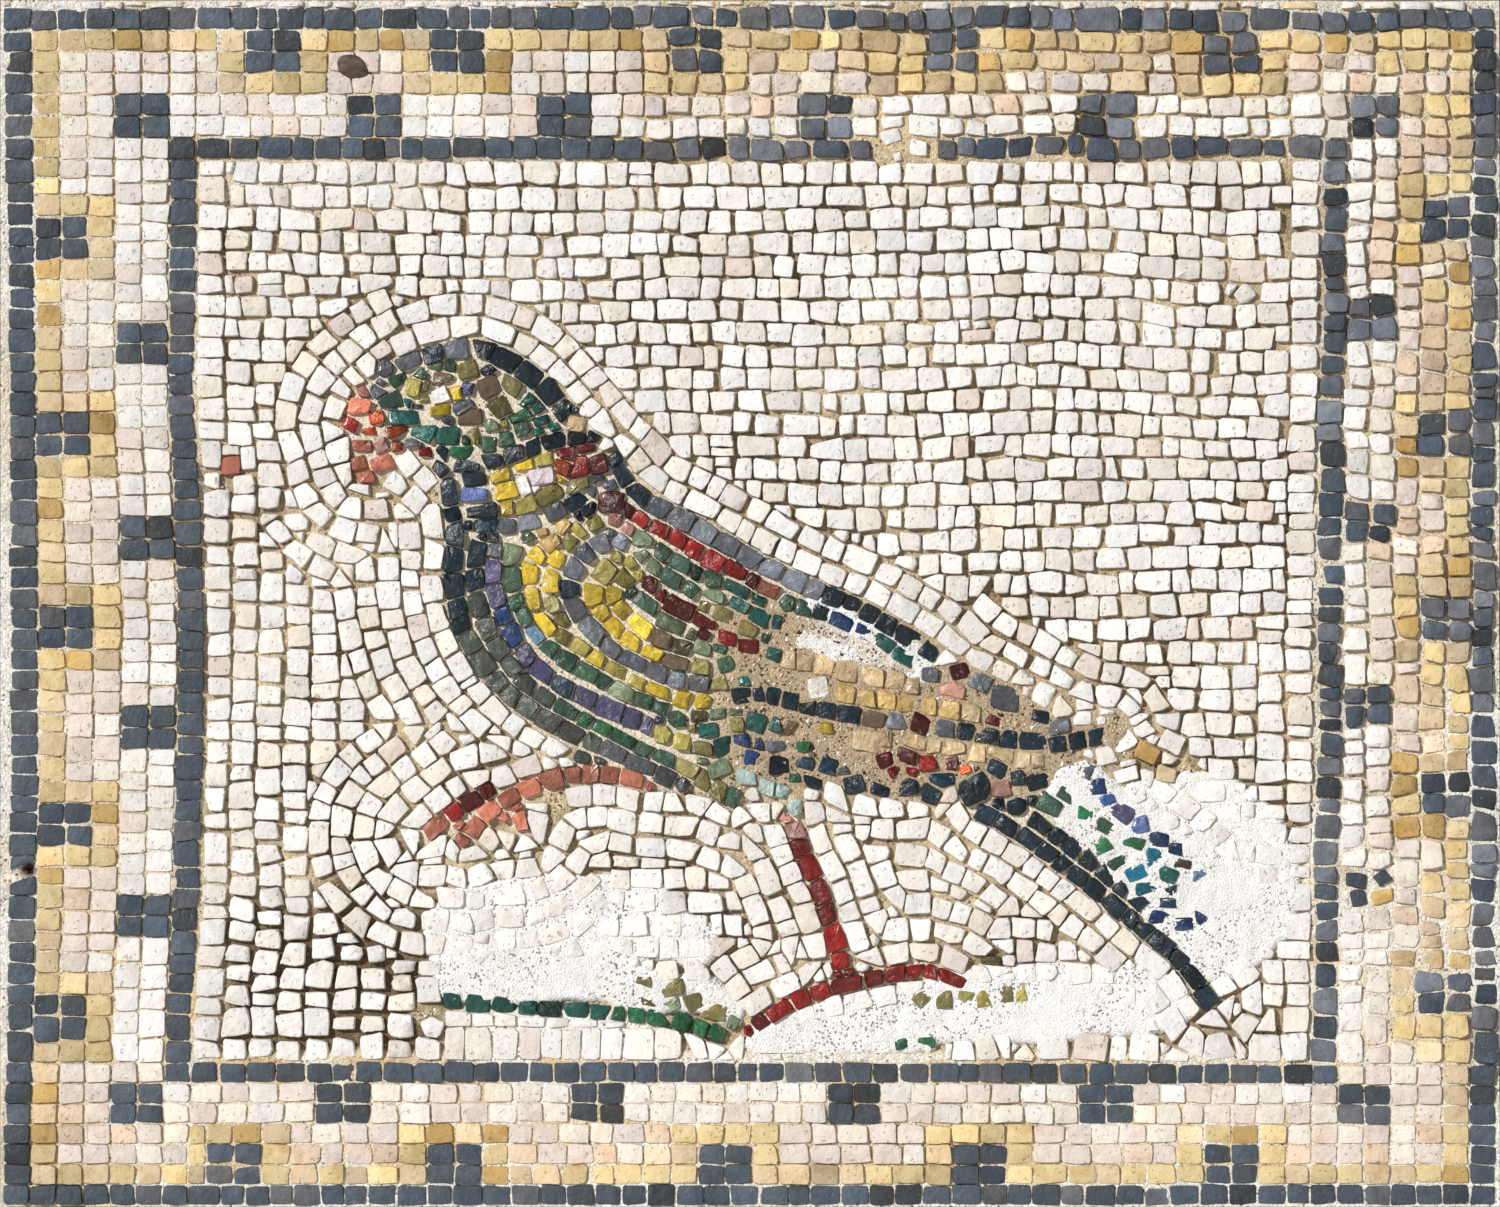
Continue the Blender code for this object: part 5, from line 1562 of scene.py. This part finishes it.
def add_repair(name, washed, bare):
    """A patch of white plaster, nearly flush with the stones: it lies level inside its outlines, dives
    into the mortar outside them, and covers the stones a little deeper in its bare part.
    """
    every = np.vstack([washed, bare])
    low = np.maximum(every.min(axis=0) - 6 * MM, [field_low.x, field_low.z])
    high = np.minimum(every.max(axis=0) + 6 * MM, [field_high.x + 2 * MM, field_high.z])
    xs, zs = (np.arange(low[k], high[k], PLASTER_STEP) for k in range(2))
    x, z = np.meshgrid(xs, zs)
    grid = grid_of(xs, zs)
    to_washed, to_bare = (distance_to_line(grid, outline) for outline in (washed, bare))
    in_washed, in_bare = (inside(grid, outline) for outline in (washed, bare))
    depth = np.minimum(np.where(in_washed, -to_washed, to_washed), np.where(in_bare, -to_bare, to_bare))
    dive = soft_step(depth, -2.2 * MM, 2.2 * MM)
    level = (0.80 - 0.35 * in_bare * soft_step(to_bare, 0.0, 3.0 * MM)
             + 0.18 * value_noise(x, z, 12 * MM, 31)
             + 0.19 * value_noise(x, z, 4 * MM, 36) + 0.14 * value_noise(x, z, 2.2 * MM, 32))
    front = TOP + (level + dive * 3.2) * MM
    tone = 1 + 0.02 * value_noise(x, z, 9 * MM, 33) + 0.012 * value_noise(x, z, 3 * MM, 34)
    colour = np.array(PLASTER_SHADE) * tone[..., None]
    stain = np.clip(value_noise(x, z, 24 * MM, 35), 0, 1)[..., None]
    colour = colour + (np.array(PLASTER_STAIN) - colour) * 0.2 * stain
    patch = closed_block(name + "_plaster", xs, zs, front, TOP + 6 * MM, MATERIALS["plaster"],
                         linear(np.clip(colour, 0, 1)))
    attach(patch, "root")
    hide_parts(name)


def add_pebble():
    """The brown pebble pressed into the top border: an ellipsoid with a flattened front and one pointed
    end, swollen and pinched by noise.
    """
    middle = np.array([-159.0, 214.6]) * MM
    half = np.array([8.1, 5.4]) * MM
    high = 2.5 * MM
    tilt = math.radians(-24)
    u = np.linspace(0, 2 * math.pi, 29)[:-1]
    v = np.linspace(0, math.pi, 15)[1:-1]
    u, v = np.meshgrid(u, v)
    swell = 1 + 0.08 * value_noise(np.cos(u) * np.sin(v), np.cos(v), 0.6, 61)
    point = 1 - 0.40 * np.clip(np.cos(u) * np.sin(v), 0, 1) ** 2
    a = half[0] * np.cos(u) * np.sin(v) * swell
    b = half[1] * np.sin(u) * np.sin(v) * swell * point
    c = high * np.sign(np.cos(v)) * np.sqrt(abs(np.cos(v))) * swell
    x = middle[0] + a * math.cos(tilt) - b * math.sin(tilt)
    z = middle[1] + a * math.sin(tilt) + b * math.cos(tilt)
    y = FRONT + 0.15 * MM + high * 1.05 - c
    rings = np.stack([x, y, z], axis=-1)
    count, per = u.shape
    poles = [[middle[0], FRONT + 0.05 * MM, middle[1]], [middle[0], FRONT + 2.1 * high, middle[1]]]
    points = np.concatenate([rings.reshape(-1, 3), poles])
    index = np.arange(count * per).reshape(count, per)
    after = np.roll(index, -1, axis=1)
    quads = np.stack([index[:-1], index[1:], after[1:], after[:-1]], axis=-1).reshape(-1, 4)
    cap = np.stack([np.full(per, count * per), index[0], after[0]], axis=-1)
    foot = np.stack([index[-1], np.full(per, count * per + 1), after[-1]], axis=-1)
    faces = quads.tolist() + cap.tolist() + foot.tolist()
    pebble = add_object("pebble", points, faces, MATERIALS["pebble"], smooth_angle=60)
    streaks = 1 + 0.25 * value_noise(points[:, 0] * 0.4, points[:, 2] + points[:, 1], 1.2 * MM, 62)
    paint(pebble, linear(np.clip(np.array((0.34, 0.28, 0.25)) * streaks[:, None], 0, 1)))
    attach(pebble, "root")


def feed(tree, node, inputs):
    """Feed inputs of a node, each with another socket, a number or a plain colour."""
    for key, given in inputs.items():
        if isinstance(given, (int, float)):
            node.inputs[key].default_value = given
        elif isinstance(given, tuple):
            node.inputs[key].default_value = (*given, 1.0)
        else:
            tree.links.new(given, node.inputs[key])


def add_node(tree, kind, inputs, **settings):
    """Add a node of a kind, set its plain properties and feed its inputs."""
    node = tree.nodes.new(kind)
    for key, setting in settings.items():
        setattr(node, key, setting)
    feed(tree, node, inputs)
    return node


def math_node(tree, operation, first, second, clamp=False):
    """Calculate with two sockets or numbers, and return the result."""
    node = add_node(tree, "ShaderNodeMath", {0: first, 1: second}, operation=operation, use_clamp=clamp)
    return node.outputs[0]


def swing(tree, source, amount):
    """How far a value lies from one half, times an amount."""
    return math_node(tree, "MULTIPLY", math_node(tree, "SUBTRACT", source, 0.5), amount)


def mix_colours(tree, factor, first, second, blend="MIX"):
    """Mix two colours, each a socket or a plain colour, and return the result."""
    node = add_node(tree, "ShaderNodeMix", {"Factor": factor, 6: first, 7: second},
                    data_type="RGBA", blend_type=blend)
    return node.outputs[2]


def scaled(tree, colour, factor):
    """Multiply a colour by a value, and return the result."""
    node = add_node(tree, "ShaderNodeVectorMath", {0: colour, "Scale": factor}, operation="SCALE")
    return node.outputs[0]


def ramp(tree, source, low, high):
    """Map a value so that low becomes 0 and high becomes 1, eased and clamped."""
    node = add_node(tree, "ShaderNodeMapRange", {"Value": source, "From Min": low, "From Max": high},
                    interpolation_type="SMOOTHSTEP")
    return node.outputs["Result"]


def noise(tree, place, scale, detail=3.0, rough=0.55):
    """Add a noise texture on a place, and return its value."""
    node = add_node(tree, "ShaderNodeTexNoise",
                    {"Vector": place, "Scale": scale, "Detail": detail, "Roughness": rough})
    return node.outputs["Fac"]


def cells(tree, place, scale, output="Distance"):
    """Add a cell texture on a place, and return one of its outputs."""
    return add_node(tree, "ShaderNodeTexVoronoi", {"Vector": place, "Scale": scale}).outputs[output]


def object_place(tree):
    """The place of a point in its object's own coordinates."""
    return add_node(tree, "ShaderNodeTexCoord", {}).outputs["Object"]


def tint_of(tree):
    """A piece's own colours, from its attribute tint."""
    return add_node(tree, "ShaderNodeAttribute", {}, attribute_name="tint").outputs["Color"]


def bumped(tree, height, strength, distance):
    """The normal of a surface that small heights roughen."""
    node = add_node(tree, "ShaderNodeBump",
                    {"Height": height, "Strength": strength, "Distance": distance})
    return node.outputs["Normal"]


def weathering_group():
    """Effects that all stones share: mottling, stains in a stone's own colour, specks, pits and a fine
    grain, each on the object's own coordinates.
    """
    group = bpy.data.node_groups.new("weathering", "ShaderNodeTree")
    for label, kind, default in (("Tint", "NodeSocketColor", (0.8, 0.8, 0.8, 1.0)),
                                 ("Mottle", "NodeSocketFloat", 0.1),
                                 ("Stain", "NodeSocketFloat", 0.0),
                                 ("Specks", "NodeSocketFloat", 0.3),
                                 ("Speck Colour", "NodeSocketColor", (0.3, 0.25, 0.2, 1.0)),
                                 ("Grain Scale", "NodeSocketFloat", 700.0)):
        socket = group.interface.new_socket(label, in_out="INPUT", socket_type=kind)
        socket.default_value = default
    group.interface.new_socket("Color", in_out="OUTPUT", socket_type="NodeSocketColor")
    for label in ("Grain", "Pits", "Clouds"):
        group.interface.new_socket(label, in_out="OUTPUT", socket_type="NodeSocketFloat")
    given = group.nodes.new("NodeGroupInput").outputs
    result = group.nodes.new("NodeGroupOutput")

    place = object_place(group)
    clouds = noise(group, place, 160.0, 4.0)
    grain = noise(group, place, given["Grain Scale"], 5.0, 0.65)
    pits = ramp(group, noise(group, place, 420.0, 2.0, 0.7), 0.62, 0.70)
    mottle = math_node(group, "ADD", swing(group, clouds, given["Mottle"]),
                       swing(group, grain, given["Mottle"]))
    shaded = scaled(group, given["Tint"], math_node(group, "ADD", mottle, 1.0))
    own_stain = mix_colours(group, 1.0, shaded, given["Tint"], "MULTIPLY")
    where_stained = ramp(group, noise(group, place, 130.0, 3.0, 0.6), 0.46, 0.66)
    stained = mix_colours(group, math_node(group, "MULTIPLY", where_stained, given["Stain"]),
                          shaded, own_stain)
    mixed = mix_colours(group, math_node(group, "MULTIPLY", pits, given["Specks"]),
                        stained, given["Speck Colour"])
    feed(group, result, {"Color": mixed, "Grain": grain, "Pits": pits, "Clouds": clouds})
    return group


def start_material(name):
    """Start a material, and return it with its tree and its shader."""
    material = bpy.data.materials.new(name)
    material.use_nodes = True
    return material, material.node_tree, material.node_tree.nodes["Principled BSDF"]


def stone_material(name, rough, bump, mottle, specks, speck_colour, grain_scale,
                   rough_spread=0.12, specular=0.35, coat=0.0, waves=2.0, stain=0.0):
    """A material for stones: their own tint, weathered, with a rough bump and an uneven gloss."""
    material, tree, shader = start_material(name)
    worn = add_node(
        tree, "ShaderNodeGroup",
        {"Tint": tint_of(tree), "Mottle": mottle, "Stain": stain, "Specks": specks,
         "Speck Colour": tuple(linear(speck_colour)), "Grain Scale": grain_scale},
        node_tree=WEATHERING).outputs
    gloss = math_node(tree, "ADD", swing(tree, worn["Grain"], 2 * rough_spread), rough, clamp=True)
    height = math_node(tree, "ADD", math_node(tree, "SUBTRACT", worn["Grain"], worn["Pits"]),
                       math_node(tree, "MULTIPLY", worn["Clouds"], waves))
    feed(tree, shader, {
        "Base Color": worn["Color"], "Roughness": gloss, "Specular IOR Level": specular,
        "Coat Weight": coat, "Coat Roughness": 0.12,
        "Normal": bumped(tree, height, bump, 0.35 * MM)})
    return material


def sandy_material(name, grain_scale, spread, dark_share, rough, bump):
    """A material of grains: each cell has a lightness of its own under a fine noise, and a few cells
    are dark.
    """
    material, tree, shader = start_material(name)
    place = object_place(tree)
    own = add_node(tree, "ShaderNodeSeparateColor",
                   {0: cells(tree, place, grain_scale, "Color")}).outputs
    fine = noise(tree, place, 2.3 * grain_scale, 3.0, 0.7)
    light = math_node(tree, "ADD", swing(tree, own[0], spread), 1.0)
    light = math_node(tree, "ADD", light, swing(tree, fine, spread))
    dark = math_node(tree, "GREATER_THAN", own[1], 1.0 - dark_share)
    dark = math_node(tree, "MULTIPLY", dark, ramp(tree, noise(tree, place, 45.0), 0.38, 0.56))
    colour = mix_colours(tree, math_node(tree, "MULTIPLY", dark, 0.75),
                         scaled(tree, tint_of(tree), light), tuple(linear(SHADES["dark_grit"])))
    round_grains = math_node(tree, "MULTIPLY", cells(tree, place, grain_scale), -1.0)
    height = math_node(tree, "ADD", round_grains, fine)
    feed(tree, shader, {
        "Base Color": colour, "Roughness": rough, "Specular IOR Level": 0.2,
        "Normal": bumped(tree, height, bump, 0.4 * MM)})
    return material


WEATHERING = weathering_group()
STONE_LOOKS = {
    "limestone": dict(rough=0.72, bump=0.85, mottle=0.25, specks=0.45, grain_scale=600.0,
                      speck_colour=(0.60, 0.52, 0.41), waves=3.0, stain=0.4),
    "slate": dict(rough=0.55, bump=0.9, mottle=0.8, specks=0.2, grain_scale=520.0,
                  speck_colour=(0.62, 0.64, 0.66), rough_spread=0.2, specular=0.5, waves=3.0,
                  stain=0.25),
    "glass": dict(rough=0.38, bump=1.0, mottle=0.9, specks=0.35, grain_scale=380.0,
                  speck_colour=(0.52, 0.49, 0.43), rough_spread=0.3, specular=0.5, coat=0.15,
                  waves=5.0),
    "pebble": dict(rough=0.6, bump=0.8, mottle=0.6, specks=0.25, grain_scale=500.0,
                   speck_colour=(0.55, 0.48, 0.42)),
    "grains": dict(rough=0.8, bump=0.4, mottle=0.3, specks=0.1, grain_scale=900.0,
                   speck_colour=(0.5, 0.45, 0.4)),
}
SANDY_LOOKS = {
    "mortar": dict(grain_scale=1100.0, spread=0.42, dark_share=0.06, rough=0.95, bump=0.9),
    "plaster": dict(grain_scale=1300.0, spread=0.16, dark_share=0.11, rough=0.9, bump=0.8),
}
MATERIALS = {name: stone_material(name, **look) for name, look in STONE_LOOKS.items()}
MATERIALS.update({name: sandy_material(name, **look) for name, look in SANDY_LOOKS.items()})

# Material and slot of the plain stones' nodes, and slots of the bird's nodes, by what they are made of
STONE_NODES = {
    "outer_line": ("slate", "slate_stone"),
    "inner_line": ("slate", "slate_stone"),
    "ochre_row": ("limestone", "ochre_limestone"),
    "pale_rows": ("limestone", "pale_limestone"),
    "white_field": ("limestone", "white_limestone"),
}
SLOT_NODES = {
    "navy_glass": ("crown_line", "collar_top_line", "breast_line_outer", "breast_line_inner",
        "feather_dark_line", "under_line", "tail_line", "tail_line_inner"),
    "slate_stone": ("collar_bottom_line", "back_line", "shoulder_line", "rump_row"),
    "red_glass": ("back_red_line", "standing_leg", "standing_foot"),
    "blue_glass": ("back_blue_line", "tail_blue_row"),
    "violet_glass": ("violet_band",),
    "green_glass": ("green_band", "ground_line", "head_feathers"),
    "yellow_glass": ("yellow_band", "wing_yellow_outer", "wing_yellow_inner", "collar"),
    "lime_glass": ("shoulder_yellow_gap",),
    "tan_stone": ("feather_tan_row", "rump_feathers"),
    "amber_glass": ("feather_ochre_row",),
    "coral_stone": ("raised_leg", "raised_toe_back", "beak"),
    "maroon_glass": ("raised_toe",),
    "olive_glass": ("tuft_left", "tuft_right", "belly_feathers"),
    "sage_glass": ("wing_green_feathers",),
    "teal_glass": ("tail_feathers",),
}
GLASS_SLOTS = {node: slot for slot, nodes in SLOT_NODES.items() for node in nodes}


def add_stage():
    """The pale floor just under the panel, soft studio lights and the camera."""
    reach = 3.0
    level = panel_low.z - 1 * MM
    points = [(x * reach, y * reach, level) for x, y in ((-1, -1), (1, -1), (1, 1), (-1, 1))]
    floor_look, tree, shader = start_material("floor")
    feed(tree, shader, {"Base Color": tuple(linear((0.86, 0.85, 0.83))), "Roughness": 0.8})
    floor = add_object("floor", points, [(0, 1, 2, 3)], floor_look)

    world = bpy.data.worlds.new("studio")
    bpy.context.scene.world = world
    world.use_nodes = True
    backdrop = world.node_tree.nodes["Background"]
    feed(world.node_tree, backdrop, {"Color": (0.86, 0.92, 1.0), "Strength": 0.085})

    key = bpy.data.lights.new("key_light", "SUN")
    key.energy = 3.85
    key.angle = math.radians(3.5)
    key.color = (1.0, 0.98, 0.955)
    fill = bpy.data.lights.new("fill_light", "AREA")
    fill.size = 1.6
    fill.energy = 3.0
    for light, place in ((key, (-1.7, -1.7, 1.2)), (fill, (1.6, -2.2, 0.3))):
        lamp = bpy.data.objects.new(light.name, light)
        bpy.context.scene.collection.objects.link(lamp)
        lamp.location = place
        lamp.rotation_euler = (-Vector(place)).to_track_quat("-Z", "Y").to_euler()

    distance = 1.9
    camera = bpy.data.cameras.new("camera")
    camera.sensor_width = 36.0
    camera.lens = camera.sensor_width * distance / (panel_high.x - panel_low.x)
    camera.clip_start, camera.clip_end = 0.05, 20.0
    eye = bpy.data.objects.new("camera", camera)
    bpy.context.scene.collection.objects.link(eye)
    eye.location = (0.0, TOP - distance, (panel_low.z + panel_high.z) / 2)
    eye.rotation_euler = (math.pi / 2, 0.0, 0.0)
    bpy.context.scene.camera = eye
    bpy.context.scene.view_settings.view_transform = "Standard"


claim(np.array([RUSTY_HOLE]) * MM + turned(4.4 * MM, 5.2 * MM, 20))
lay_placed()
for side in SIDES:
    lay_side(side)
lay_edge_strip()
bird = lay_bird()
repair_places = {name: repair_outlines(name) for name in REPAIR_SHARES}
FIELD, XS, ZS = bird_grid()
OUTLINE = bird_outline()
DEPTH = bird_depth()
fill_bird()
lay_white_field()
fill_white_field()
for piece_node in list(laid):
    finish, slot_name = STONE_NODES.get(piece_node) or ("glass", GLASS_SLOTS[piece_node])
    add_tesserae(piece_node, MATERIALS[finish])
mortar_surface()
for repair_name, (washed_line, bare_line) in repair_places.items():
    add_repair(repair_name, washed_line, bare_line)
add_gravel()
add_pebble()
add_stage()
